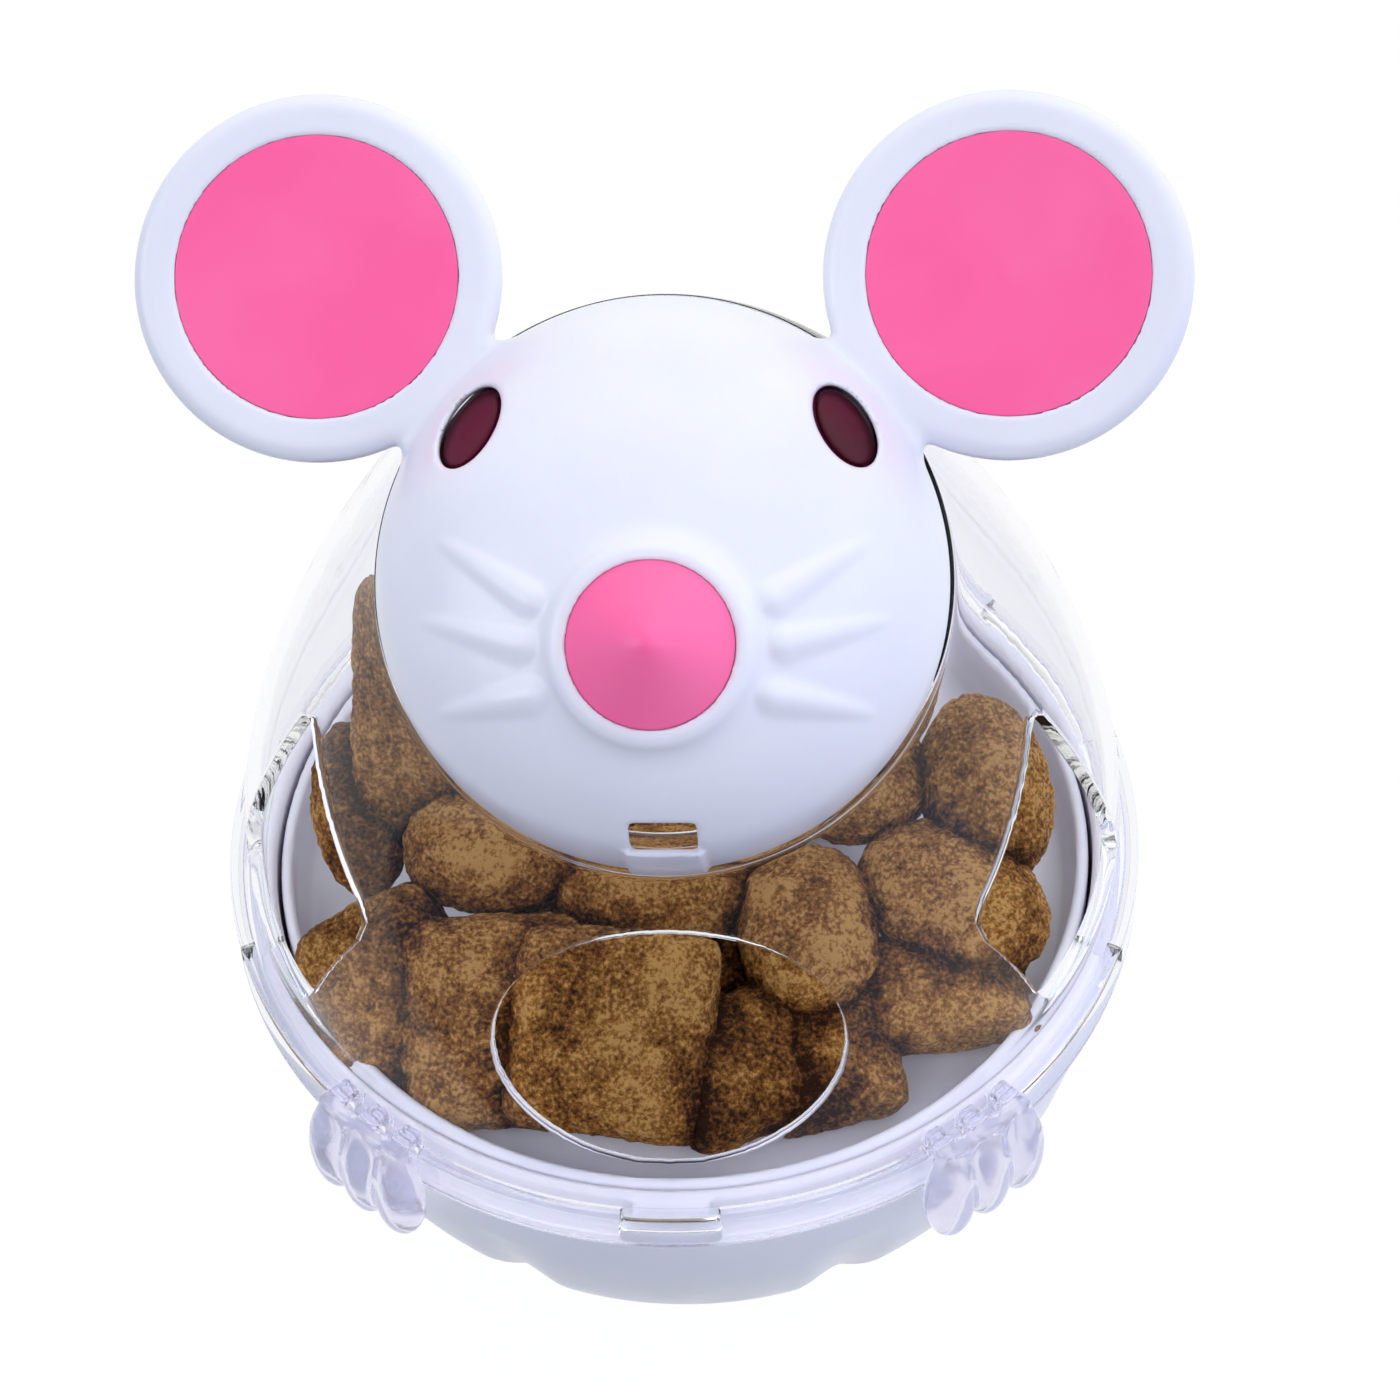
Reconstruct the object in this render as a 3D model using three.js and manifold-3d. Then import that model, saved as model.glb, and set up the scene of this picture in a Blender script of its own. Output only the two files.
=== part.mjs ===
// A mouse-shaped tumbler that drops pet treats: a weighted white bowl, a clear cover that clips on,
// with treat openings and clear paws, and a white mouse head that pulls off the cover's neck.
// Millimetres and degrees. +Z is up, the mouse faces -Y, and the origin is the middle of the foot.
import * as THREE from "three";
import { mergeVertices } from "three/addons/utils/BufferGeometryUtils.js";
import Module from "manifold-3d";

const wasm = await Module();
wasm.setup();

// Driving dimensions shared by several pieces
const GAP = 0.3; // clearance between neighbouring pieces
const WALL = 1.4; // moulded wall thickness
const FLANGE_TOP = 46.4; // height of the cover's ledge above the foot
const FLANGE_RADIUS = 44;
const SKIRT_HEIGHT = 5;

// Bowl
const BOWL_RADIUS = 42.2;
const BOWL_CENTRE = 40.5; // height of the middle of the bowl's sphere
const BOWL_INNER = 39.6;
const BOWL_FLOOR = 3.5; // height of the flat inside floor
const RIM_RADIUS = 41;
const FLUTE_DEPTH = 1.4;
const FLUTE_HALF_WIDTH = 7;
const FLUTE_ANGLES = [24, 66, 114, 156, 204, 246, 294, 336];
const BOSS = { radius: 8, top: 5.9, hole: 1.8, holeBottom: 1.5 };
const POST = { radius: 3.5, ring: 27, hole: 1.7, holeBottom: 20, angles: [60, 180, 300] };

// Steel weight and its fixing
const WEIGHT = { radius: 19, hole: 2, bottom: BOSS.top + GAP, thickness: 7.5 };
const WASHER = { radius: 6, hole: 2, thickness: 1 };
const BALLAST_SCREW = { shank: 1.5, head: 3.4, tip: BOSS.holeBottom + 0.5 };
const TRAY_SCREW = { shank: 1.3, head: 2.8, length: 14 };

// Tray: the floor that the treats lie on
const TRAY = { radius: 39.2, foot: 38.6, bottom: FLANGE_TOP - 10, wall: 1.2, top: FLANGE_TOP - 2 };
const TRAY_CORNER = { rise: 4, round: 2 }; // where the tray's sloping foot meets its wall

// Snap lugs on the bowl's rim, and the skirt windows that show them: middle angle and half width
const LUGS = [[0, 5], [59, 13], [121, 13], [180, 5], [239, 13], [301, 13]];
const LUG = { out: 42.3, low: FLANGE_TOP - 4, high: FLANGE_TOP - 2.2 };
const SKIRT_WINDOW = { low: FLANGE_TOP - 4.3, high: FLANGE_TOP - 0.9, spare: 1.2 };

// Dome between the ledge and the neck
const DOME_RADIUS = 41.5;
const DOME_LEAN = 22; // the side walls start this far outwards from upright
const DOME_PULL = 0.31; // how far the wall keeps that lean, as a share of its length
const NECK_LEAN = 70; // slope of the shoulder where it meets the neck
const NECK_PULL = 0.09;
const NECK = { centre: new THREE.Vector3(0, -3.25, FLANGE_TOP + 41.3), tilt: 37, radius: 26.1 };
const COLLAR_HEIGHT = 2;
const SPIGOT = { out: 23.6, inner: 22.2, height: 4 };
const OVAL = { halfWidth: 16.4, halfHeight: 11.2, rise: 11.75, reach: 12 };
const SIDE_WINDOW = { back: -5, front: -22.5, low: 3, backTop: 26.5, frontTop: 15 };
const SIDE_CUT = { from: 20, depth: 30 }; // the flank windows are cut from here outwards

// Paws: three toes each
const TOE_ANGLES = [34.5, 39.7, 45];
const TOE = { ring: 45.15, radial: 2.5, across: 2.6, tall: 6.4, middle: FLANGE_TOP - 6 };
const TOE_PEG = { inner: 42.3, outer: 43.3, width: 1.8, height: 3 };
const TOE_TAB = { top: 1.2, overlap: 0.6 }; // tabs from the toes over the ledge to the pegs
const KNUCKLE = { proud: 0.8, drop: 3, half: 7.4 }; // bar behind the toes, half width in degrees

// Head, in its own frame: X to the side, Y up the face, Z out of the face, origin in the neck plane
const CAP = { radius: 25.6, rim: COLLAR_HEIGHT + GAP, height: 22, skirt: 1.5, drop: 6.3 };
const NOSE_SEAT = { radius: 8.7, recess: 7.4, depth: 0.9, proud: 0.4, hole: 2.4 };
const NOSE = { radius: 7.1, height: 6.6, stem: 2.1, stemLength: 7 };
const EAR = { x: 30.8, y: 27.3, radius: 16.5, thickness: 3.4, low: CAP.rim + 0.4 };
const EAR_RECESS = { radius: 12.7, depth: 1.5, peg: 1.5 };
const EAR_ROUND = 1; // chamfer round the ear plates
const EAR_NECK = { half: 7.5, spread: 3.2, pinch: 0.8, root: 5.4, embed: 4, reach: 10 };
const EYE = { x: 16.4, y: 13.2, halfLong: 4.1, halfShort: 2.3, turn: 29, recess: 1.1, pad: 1.4 };
const WHISKER = { long: 4.6, thick: 1.1 };
const WHISKERS = [
  { x: 14.5, y: 0.4, turn: 33 },
  { x: 15.8, y: -5, turn: 14 },
  { x: 14.6, y: -11.3, turn: -8 },
];
const CHIN_SLOT = { x: 0.6, width: 6, low: -23.7, high: -21.4 };

// Facets round the large rings
const AROUND = 56;
const BOWL_FACETS = 80;
const CAP_FACETS = 40;

const rad = THREE.MathUtils.degToRad;

// ---- Helpers ----

// Unit direction in the XY plane, turned from -Y towards +X.
function heading(angle) {
  return new THREE.Vector3(Math.sin(rad(angle)), -Math.cos(rad(angle)), 0);
}

function solidOf(geometry) {
  const bare = geometry.clone();
  bare.deleteAttribute("normal");
  bare.deleteAttribute("uv");
  const merged = mergeVertices(bare, 1e-4);
  const vertProperties = merged.attributes.position.array;
  const triVerts = new Uint32Array(merged.index.array);
  return new wasm.Manifold(new wasm.Mesh({ numProp: 3, vertProperties, triVerts }));
}

function geometryOf(solid) {
  const mesh = solid.getMesh();
  const geometry = new THREE.BufferGeometry();
  geometry.setAttribute("position", new THREE.BufferAttribute(mesh.vertProperties, 3));
  geometry.setIndex(new THREE.BufferAttribute(mesh.triVerts, 1));
  geometry.computeVertexNormals();
  return geometry;
}

// Skin over a list of rings of points. A loop joins its last ring to its first, and an open
// stack gets a flat fan over each end.
function skin(rings, isLoop) {
  const count = rings[0].length;
  const points = rings.flat();
  const faces = [];
  const spans = isLoop ? rings.length : rings.length - 1;
  for (let i = 0; i < spans; i++) {
    const low = i * count;
    const high = ((i + 1) % rings.length) * count;
    for (let j = 0; j < count; j++) {
      const k = (j + 1) % count;
      faces.push(low + j, low + k, high + k, low + j, high + k, high + j);
    }
  }
  if (!isLoop) {
    const last = (rings.length - 1) * count;
    const bottom = points.push(middleOf(rings[0])) - 1;
    const top = points.push(middleOf(rings[rings.length - 1])) - 1;
    for (let j = 0; j < count; j++) {
      const k = (j + 1) % count;
      faces.push(bottom, k, j, top, last + j, last + k);
    }
  }
  const geometry = new THREE.BufferGeometry().setFromPoints(points);
  geometry.setIndex(faces);
  return solidOf(geometry);
}

function middleOf(ring) {
  const sum = new THREE.Vector3();
  ring.forEach((point) => sum.add(point));
  return sum.divideScalar(ring.length);
}

// Flat round ring of points at a height, with an optional radius rule for each angle.
function roundRing(radius, height, shrink = () => 0, count = AROUND) {
  return Array.from({ length: count }, (_, i) => {
    const angle = (i * 360) / count;
    return heading(angle).multiplyScalar(radius - shrink(angle)).setZ(height);
  });
}

function cylinder(radius, low, high, sides = 32) {
  const geometry = new THREE.CylinderGeometry(radius, radius, high - low, sides);
  geometry.rotateX(Math.PI / 2).translate(0, 0, (low + high) / 2);
  return solidOf(geometry);
}

function block(width, depth, height, x, y, z) {
  return solidOf(new THREE.BoxGeometry(width, depth, height).translate(x, y, z));
}

// Upright piece of a ring, between two radii and two heights, about a middle angle.
function ringSector(inner, outer, low, high, middle, half) {
  const from = rad(middle - half - 90);
  const to = rad(middle + half - 90);
  const shape = new THREE.Shape();
  shape.absarc(0, 0, outer, from, to, false);
  shape.absarc(0, 0, inner, to, from, true);
  const settings = { depth: high - low, bevelEnabled: false, curveSegments: 6 };
  return solidOf(new THREE.ExtrudeGeometry(shape, settings).translate(0, 0, low));
}

// Piece of revolution about Z from [radius, height] pairs that start and end on the axis.
function turned(profile, sides = 32) {
  const points = profile.map(([radius, height]) => new THREE.Vector2(radius, height));
  return solidOf(new THREE.LatheGeometry(points, sides).rotateX(Math.PI / 2));
}

function joined(solids) {
  return solids.reduce((sum, solid) => sum.add(solid));
}

function mesh(name, solid, material) {
  const made = new THREE.Mesh(geometryOf(solid), material);
  made.name = name;
  return made;
}

function plastic(color, roughness) {
  return new THREE.MeshStandardMaterial({ color, roughness, metalness: 0 });
}

const whitePlastic = plastic(0xeeeef8, 0.3);
const pinkPlastic = plastic(0xff6fae, 0.45);
const eyePlastic = plastic(0x5a0a2a, 0.15);
const steel = new THREE.MeshStandardMaterial({ color: 0xb8bcc2, roughness: 0.35, metalness: 1 });
const clearPlastic = plastic(0xf2f4ff, 0.08);
clearPlastic.transparent = true;
clearPlastic.opacity = 0.3;

// ---- Bowl, weight and tray ----

// How deep the flutes are at an angle: 1 in the middle of a flute, 0 outside it.
function fluteShare(angle) {
  const nearest = Math.min(...FLUTE_ANGLES.map((at) => Math.abs(angle - at)));
  return nearest < FLUTE_HALF_WIDTH ? Math.cos(rad((90 * nearest) / FLUTE_HALF_WIDTH)) ** 2 : 0;
}

function sphereRadius(radius, height) {
  return Math.sqrt(radius ** 2 - (BOWL_CENTRE - height) ** 2);
}

function bowlOutside() {
  const rings = [];
  const levels = 9;
  for (let i = 0; i <= levels; i++) {
    const share = i / levels;
    const height = BOWL_CENTRE * (1 - Math.cos((share * Math.PI) / 2));
    const fade = Math.sin(Math.PI * Math.min(1, share * 1.12)) ** 0.7;
    const shrink = (angle) => FLUTE_DEPTH * fade * fluteShare(angle);
    rings.push(roundRing(sphereRadius(BOWL_RADIUS, height), height, shrink, BOWL_FACETS));
  }
  const plain = () => 0;
  const step = FLANGE_TOP - SKIRT_HEIGHT - GAP;
  rings.push(roundRing(BOWL_RADIUS, step, plain, BOWL_FACETS));
  rings.push(roundRing(RIM_RADIUS, step, plain, BOWL_FACETS));
  rings.push(roundRing(RIM_RADIUS, FLANGE_TOP - WALL - GAP, plain, BOWL_FACETS));
  return skin(rings, false);
}

function bowlCavity() {
  const rings = [];
  const levels = 7;
  for (let i = 0; i <= levels; i++) {
    const rise = (BOWL_CENTRE - BOWL_FLOOR) * (1 - Math.cos((i / levels) * (Math.PI / 2)));
    const height = BOWL_FLOOR + rise;
    rings.push(roundRing(sphereRadius(BOWL_INNER, height), height));
  }
  rings.push(roundRing(BOWL_INNER, FLANGE_TOP + 1));
  return skin(rings, false);
}

function postPlaces() {
  return POST.angles.map((angle) => heading(angle).multiplyScalar(POST.ring));
}

function makeBowl() {
  const posts = postPlaces().map((at) =>
    cylinder(POST.radius, BOWL_FLOOR, TRAY.bottom - GAP, 16).translate([at.x, at.y, 0]),
  );
  const boss = cylinder(BOSS.radius, 0, BOSS.top, 24);
  const cavity = bowlCavity().subtract(joined([...posts, boss]));
  const pilotHoles = postPlaces().map((at) =>
    cylinder(POST.hole, POST.holeBottom, TRAY.bottom, 12).translate([at.x, at.y, 0]),
  );
  pilotHoles.push(cylinder(BOSS.hole, BOSS.holeBottom, BOSS.top + 1, 12));
  const lugs = LUGS.map(([middle, half]) =>
    ringSector(RIM_RADIUS - 0.5, LUG.out, LUG.low, LUG.high, middle, half),
  );
  return bowlOutside().subtract(cavity).subtract(joined(pilotHoles)).add(joined(lugs));
}

function makeWeight() {
  const top = WEIGHT.bottom + WEIGHT.thickness;
  const edge = 0.8;
  const disc = turned([
    [0, WEIGHT.bottom],
    [WEIGHT.radius - edge, WEIGHT.bottom],
    [WEIGHT.radius, WEIGHT.bottom + edge],
    [WEIGHT.radius, top - edge],
    [WEIGHT.radius - edge, top],
    [0, top],
  ], 48);
  return disc.subtract(cylinder(WEIGHT.hole, WEIGHT.bottom - 1, top + 1, 16));
}

function makeWasher() {
  const low = WEIGHT.bottom + WEIGHT.thickness + GAP;
  const high = low + WASHER.thickness;
  return cylinder(WASHER.radius, low, high, 24).subtract(
    cylinder(WASHER.hole, low - 1, high + 1, 16),
  );
}

// Pan-head screw standing on Z, its head's underside at a height and its tip at another.
function makeScrew({ shank, head }, seat, tip) {
  const rise = head * 0.6;
  return turned([
    [0, tip],
    [shank * 0.5, tip],
    [shank, tip + shank],
    [shank, seat],
    [head, seat],
    [head, seat + rise * 0.5],
    [head * 0.7, seat + rise],
    [0, seat + rise],
  ], 16);
}

function makeTray() {
  const floorTop = TRAY.bottom + WALL;
  const dish = turned([
    [0, TRAY.bottom],
    [TRAY.foot, TRAY.bottom],
    [TRAY.radius, TRAY.bottom + TRAY_CORNER.rise],
    [TRAY.radius, TRAY.top],
    [TRAY.radius - TRAY.wall, TRAY.top],
    [TRAY.radius - TRAY.wall, TRAY.bottom + TRAY_CORNER.rise],
    [TRAY.foot - TRAY.wall - TRAY_CORNER.round, floorTop],
    [0, floorTop],
  ], 40);
  const holes = postPlaces().map((at) =>
    cylinder(POST.hole, TRAY.bottom - 1, floorTop + 1, 12).translate([at.x, at.y, 0]),
  );
  return dish.subtract(joined(holes));
}

// ---- Clear cover and paws ----

const faceOut = new THREE.Vector3(0, -Math.cos(rad(90 - NECK.tilt)), Math.sin(rad(90 - NECK.tilt)));
const faceUp = new THREE.Vector3(0, Math.cos(rad(NECK.tilt)), Math.sin(rad(NECK.tilt)));

// Point on a circle about the head's axis, at a height above the neck plane.
function neckPoint(angle, radius, height) {
  return NECK.centre
    .clone()
    .addScaledVector(faceOut, height)
    .addScaledVector(new THREE.Vector3(1, 0, 0), radius * Math.sin(rad(angle)))
    .addScaledVector(faceUp, -radius * Math.cos(rad(angle)));
}

// One upright curve of the dome's outside, from the ledge to the neck. The front one is straight
// and the sides and back bulge.
function domeCurve(angle) {
  const out = heading(angle);
  const foot = out.clone().multiplyScalar(DOME_RADIUS).setZ(FLANGE_TOP);
  const head = neckPoint(angle, NECK.radius, 0);
  const length = foot.distanceTo(head);
  const straight = head.clone().sub(foot).normalize();
  const bulge = 1 - ((1 + Math.cos(rad(angle))) / 2) ** 3;
  const start = new THREE.Vector3(0, 0, Math.cos(rad(DOME_LEAN)));
  start.addScaledVector(out, Math.sin(rad(DOME_LEAN)));
  const neckOut = neckPoint(angle, 1, 0).sub(NECK.centre);
  const end = neckOut.multiplyScalar(Math.cos(rad(NECK_LEAN)));
  end.addScaledVector(faceOut, -Math.sin(rad(NECK_LEAN)));
  const pulled = (from, slope, pull, line) =>
    from
      .clone()
      .addScaledVector(slope, bulge * pull * length)
      .addScaledVector(straight, ((1 - bulge) * line * length) / 3);
  return new THREE.CubicBezierCurve3(
    foot,
    pulled(foot, start, DOME_PULL, 1),
    pulled(head, end, NECK_PULL, -1),
    head,
  );
}

// The same curve moved inwards by a wall, square to the dome's surface.
function domeInside(angle, share, wall) {
  const curve = domeCurve(angle);
  const at = curve.getPoint(share);
  const along = curve.getTangent(share);
  const across = domeCurve(angle + 1).getPoint(share).sub(domeCurve(angle - 1).getPoint(share));
  return at.addScaledVector(along.cross(across).normalize(), wall);
}

function coverShell() {
  const steps = 8;
  const profiles = [];
  for (let i = 0; i < AROUND; i++) {
    const angle = (i * 360) / AROUND;
    const at = (radius, drop) => heading(angle).multiplyScalar(radius).setZ(FLANGE_TOP - drop);
    const inner = FLANGE_RADIUS - WALL;
    const curve = domeCurve(angle);
    const outside = Array.from({ length: steps + 1 }, (_, k) => curve.getPoint(k / steps));
    const inside = Array.from({ length: steps }, (_, k) =>
      domeInside(angle, 1 - (k + 1) / steps, WALL),
    );
    profiles.push([
      at(FLANGE_RADIUS, SKIRT_HEIGHT),
      at(FLANGE_RADIUS, 0.7),
      at(FLANGE_RADIUS - 0.7, 0),
      ...outside,
      neckPoint(angle, NECK.radius, COLLAR_HEIGHT),
      neckPoint(angle, SPIGOT.out, COLLAR_HEIGHT),
      neckPoint(angle, SPIGOT.out, COLLAR_HEIGHT + SPIGOT.height),
      neckPoint(angle, SPIGOT.inner, COLLAR_HEIGHT + SPIGOT.height),
      neckPoint(angle, SPIGOT.inner, COLLAR_HEIGHT - WALL),
      ...inside,
      at(DOME_RADIUS - WALL, WALL),
      at(inner, WALL),
      at(inner, SKIRT_HEIGHT),
    ]);
  }
  const rings = profiles[0].map((_, row) => profiles.map((profile) => profile[row]));
  return skin(rings, true);
}

// Cutter for the oval opening, square to the sloping front wall.
function ovalCutter() {
  const foot = heading(0).multiplyScalar(DOME_RADIUS).setZ(FLANGE_TOP);
  const top = neckPoint(0, NECK.radius, 0);
  const slope = top.clone().sub(foot);
  const middle = foot.clone().addScaledVector(slope, OVAL.rise / slope.z);
  const lean = Math.atan2(slope.z, slope.y);
  const shape = new THREE.Shape();
  shape.absellipse(0, 0, OVAL.halfWidth, OVAL.halfHeight, 0, 2 * Math.PI);
  const settings = { depth: 2 * OVAL.reach, bevelEnabled: false, curveSegments: 20 };
  const geometry = new THREE.ExtrudeGeometry(shape, settings).translate(0, 0, -OVAL.reach);
  geometry.rotateX(lean).translate(middle.x, middle.y, middle.z);
  return solidOf(geometry);
}

// Cutter for a flank window: a prism along X, kept away from the middle of the dome.
function sideWindowCutter(side) {
  const { back, front, low, backTop, frontTop } = SIDE_WINDOW;
  const shape = new THREE.Shape();
  shape.moveTo(back, FLANGE_TOP + low);
  shape.lineTo(back, FLANGE_TOP + backTop);
  shape.lineTo(front, FLANGE_TOP + frontTop);
  shape.lineTo(front, FLANGE_TOP + low);
  shape.closePath();
  const { from, depth } = SIDE_CUT;
  const geometry = new THREE.ExtrudeGeometry(shape, { depth, bevelEnabled: false });
  geometry.rotateY(Math.PI / 2).rotateX(Math.PI / 2);
  geometry.translate(side > 0 ? from : -from - depth, 0, 0);
  return solidOf(geometry);
}

function toePegSlots(side, spare) {
  const middle = (TOE_PEG.inner + TOE_PEG.outer) / 2;
  const depth = TOE_PEG.outer - TOE_PEG.inner + 2 * spare;
  const width = TOE_PEG.width + 2 * spare;
  return TOE_ANGLES.map((angle) =>
    block(width, depth, TOE_PEG.height, 0, -middle, FLANGE_TOP).rotate([0, 0, side * angle]),
  );
}

function makeCover() {
  const skirtWindows = LUGS.map(([middle, half]) =>
    ringSector(
      FLANGE_RADIUS - WALL - 0.5,
      FLANGE_RADIUS + 1,
      SKIRT_WINDOW.low,
      SKIRT_WINDOW.high,
      middle,
      half + SKIRT_WINDOW.spare,
    ),
  );
  const cutters = [
    ovalCutter(),
    sideWindowCutter(1),
    sideWindowCutter(-1),
    ...skirtWindows,
    ...toePegSlots(1, GAP),
    ...toePegSlots(-1, GAP),
  ];
  return coverShell().subtract(joined(cutters));
}

function makePaw(side) {
  const toes = TOE_ANGLES.map((angle) => {
    const toe = new THREE.SphereGeometry(1, 10, 8).rotateX(Math.PI / 2);
    toe.scale(TOE.across, TOE.radial, TOE.tall);
    return solidOf(toe.translate(0, -TOE.ring, TOE.middle)).rotate([0, 0, side * angle]);
  });
  const tabs = TOE_ANGLES.map((angle) => {
    const depth = TOE.ring + TOE_TAB.overlap - TOE_PEG.inner;
    const y = -(TOE_PEG.inner + depth / 2);
    const height = TOE_TAB.top - GAP;
    const tab = block(TOE_PEG.width, depth, height, 0, y, FLANGE_TOP + GAP + height / 2);
    return tab.rotate([0, 0, side * angle]);
  });
  const knuckle = ringSector(
    FLANGE_RADIUS + GAP,
    TOE.ring + KNUCKLE.proud,
    FLANGE_TOP - KNUCKLE.drop,
    FLANGE_TOP + TOE_TAB.top,
    side * TOE_ANGLES[1],
    KNUCKLE.half,
  );
  const wellBelow = FLANGE_TOP - 2 * TOE.tall;
  const pegFloor = cylinder(FLANGE_RADIUS, wellBelow, FLANGE_TOP - WALL + GAP, 32);
  const pegs = joined(toePegSlots(side, 0)).subtract(pegFloor);
  const clearance = cylinder(FLANGE_RADIUS + GAP, wellBelow, FLANGE_TOP + GAP, 96);
  return joined([...toes, ...tabs, knuckle]).subtract(clearance).add(pegs);
}

// ---- Head ----

// Height of the cap's outside above its rim, and its sideways place, at a share of its rise.
function capRing(share, inset) {
  const turn = (share * Math.PI) / 2;
  const rise = (CAP.height - CAP.skirt - inset) * Math.sin(turn);
  const radius = Math.max((CAP.radius - inset) * Math.cos(turn), 0.4);
  const drop = CAP.drop * Math.sin(turn) ** 2;
  const height = CAP.rim + CAP.skirt + rise;
  return Array.from({ length: CAP_FACETS }, (_, i) => {
    const angle = rad((i * 360) / CAP_FACETS);
    return new THREE.Vector3(radius * Math.sin(angle), -radius * Math.cos(angle) - drop, height);
  });
}

// The cap as a solid, inset from its outside, from a height up to its top.
function capSolid(inset, low) {
  const steps = 8;
  const rings = [roundRing(CAP.radius - inset, low, () => 0, CAP_FACETS)];
  for (let i = 0; i <= steps; i++) rings.push(capRing(i / steps, inset));
  return skin(rings, false);
}

function eyeCutter(side, spare, low) {
  const shape = new THREE.Shape();
  shape.absellipse(0, 0, EYE.halfShort + spare, EYE.halfLong + spare, 0, 2 * Math.PI);
  const settings = { depth: 40, bevelEnabled: false, curveSegments: 8 };
  const geometry = new THREE.ExtrudeGeometry(shape, settings);
  geometry.rotateZ(rad(side * EYE.turn)).translate(side * EYE.x, EYE.y, low);
  return solidOf(geometry);
}

// Ear plate with its recess for the pink disc, and the neck that joins it to the cap.
function earSolid(side) {
  const { radius, thickness, low } = EAR;
  const high = low + thickness;
  const plate = turned([
    [0, low],
    [radius - EAR_ROUND, low],
    [radius, low + EAR_ROUND],
    [radius, high - EAR_ROUND],
    [radius - EAR_ROUND, high],
    [0, high],
  ], 36).translate([side * EAR.x, EAR.y, 0]);
  const reach = Math.hypot(EAR.x, EAR.y);
  const far = reach - EAR_NECK.reach;
  const near = CAP.radius - EAR_NECK.embed;
  const waist = reach - radius + EAR_ROUND;
  const { half, spread, pinch, root } = EAR_NECK;
  const shape = new THREE.Shape();
  shape.moveTo(far, -half - spread);
  shape.quadraticCurveTo(waist, -half + pinch, near, -half - root);
  shape.lineTo(near, half + root);
  shape.quadraticCurveTo(waist, half - pinch, far, half + spread);
  shape.closePath();
  const settings = { depth: thickness - 2 * GAP, bevelEnabled: false, curveSegments: 6 };
  const neck = new THREE.ExtrudeGeometry(shape, settings).translate(0, 0, low + GAP);
  neck.rotateZ(Math.atan2(EAR.y, side * EAR.x));
  return plate.add(solidOf(neck));
}

function whisker(side, { x, y, turn }) {
  const { long, thick } = WHISKER;
  const geometry = new THREE.SphereGeometry(1, 8, 6).scale(long, thick, thick);
  const height = capHeightAt(x, y);
  const slope = (capHeightAt(x + 1, y) - capHeightAt(x - 1, y)) / 2;
  geometry.rotateY(-Math.atan(slope)).rotateZ(rad(turn)).translate(x, y, height);
  if (side < 0) geometry.rotateY(Math.PI).translate(0, 0, 2 * height);
  return solidOf(geometry);
}

// Height of the cap's outside over a point of the neck plane.
function capHeightAt(x, y) {
  let share = 0.5;
  for (let i = 0; i < 30; i++) {
    const turn = (share * Math.PI) / 2;
    const radius = Math.hypot(x, y + CAP.drop * Math.sin(turn) ** 2) / CAP.radius;
    share = 0.5 * share + 0.5 * (Math.acos(Math.min(radius, 1)) / (Math.PI / 2));
  }
  return CAP.rim + CAP.skirt + (CAP.height - CAP.skirt) * Math.sin((share * Math.PI) / 2);
}

const capTop = CAP.rim + CAP.height;

function makeHeadShell() {
  const { radius, recess, depth, proud, hole } = NOSE_SEAT;
  const seat = turned([
    [0, capTop - 4],
    [radius - 0.6, capTop - 4],
    [radius + 1.4, capTop - 2.4],
    [radius, capTop],
    [radius - 0.5, capTop + proud],
    [0, capTop + proud],
  ]).translate([0, -CAP.drop, 0]);
  const whiskers = [-1, 1].flatMap((side) => WHISKERS.map((place) => whisker(side, place)));
  const outside = joined([capSolid(0, CAP.rim), earSolid(1), earSolid(-1), seat, ...whiskers]);
  const earCuts = [-1, 1].map((side) =>
    joined([
      cylinder(EAR_RECESS.radius, EAR.low + EAR.thickness - EAR_RECESS.depth, capTop, 40),
      cylinder(EAR_RECESS.peg + GAP, EAR.low - 1, capTop, 12),
    ]).translate([side * EAR.x, EAR.y, 0]),
  );
  const noseCuts = joined([
    cylinder(recess, capTop + proud - depth, capTop + 5, 32),
    cylinder(hole, capTop - 12, capTop + 5, 16),
  ]).translate([0, -CAP.drop, 0]);
  const slotHeight = CHIN_SLOT.high - CHIN_SLOT.low;
  const slotMiddle = CHIN_SLOT.low + slotHeight / 2;
  const chin = block(CHIN_SLOT.width, slotHeight, capTop, CHIN_SLOT.x, slotMiddle, capTop / 2 + 2);
  const cutters = [
    capSolid(WALL, CAP.rim - 5),
    ...earCuts,
    noseCuts,
    eyeCutter(1, 0, 6),
    eyeCutter(-1, 0, 6),
    chin,
  ];
  return outside.subtract(joined(cutters));
}

function makeEye(side) {
  const low = COLLAR_HEIGHT + SPIGOT.height + GAP;
  const pad = capSolid(WALL + GAP, 4).subtract(capSolid(WALL + GAP + EYE.pad, 3));
  const plug = capSolid(EYE.recess, 4).subtract(capSolid(WALL + GAP + 1, 3));
  return pad.intersect(eyeCutter(side, 1.2, low)).add(plug.intersect(eyeCutter(side, -GAP, low)));
}

function makeNose() {
  const base = capTop + NOSE_SEAT.proud - NOSE_SEAT.depth + GAP;
  const { radius, height, stem, stemLength } = NOSE;
  const cone = turned([
    [0, base - stemLength],
    [stem - 0.5, base - stemLength],
    [stem, base - stemLength + 0.8],
    [stem, base],
    [radius, base],
    [radius, base + 0.9],
    [radius * 0.82, base + height * 0.36],
    [radius * 0.54, base + height * 0.63],
    [radius * 0.24, base + height * 0.9],
    [radius * 0.1, base + height * 0.98],
    [0, base + height],
  ], 28);
  return cone.translate([0, -CAP.drop, 0]);
}

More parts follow.
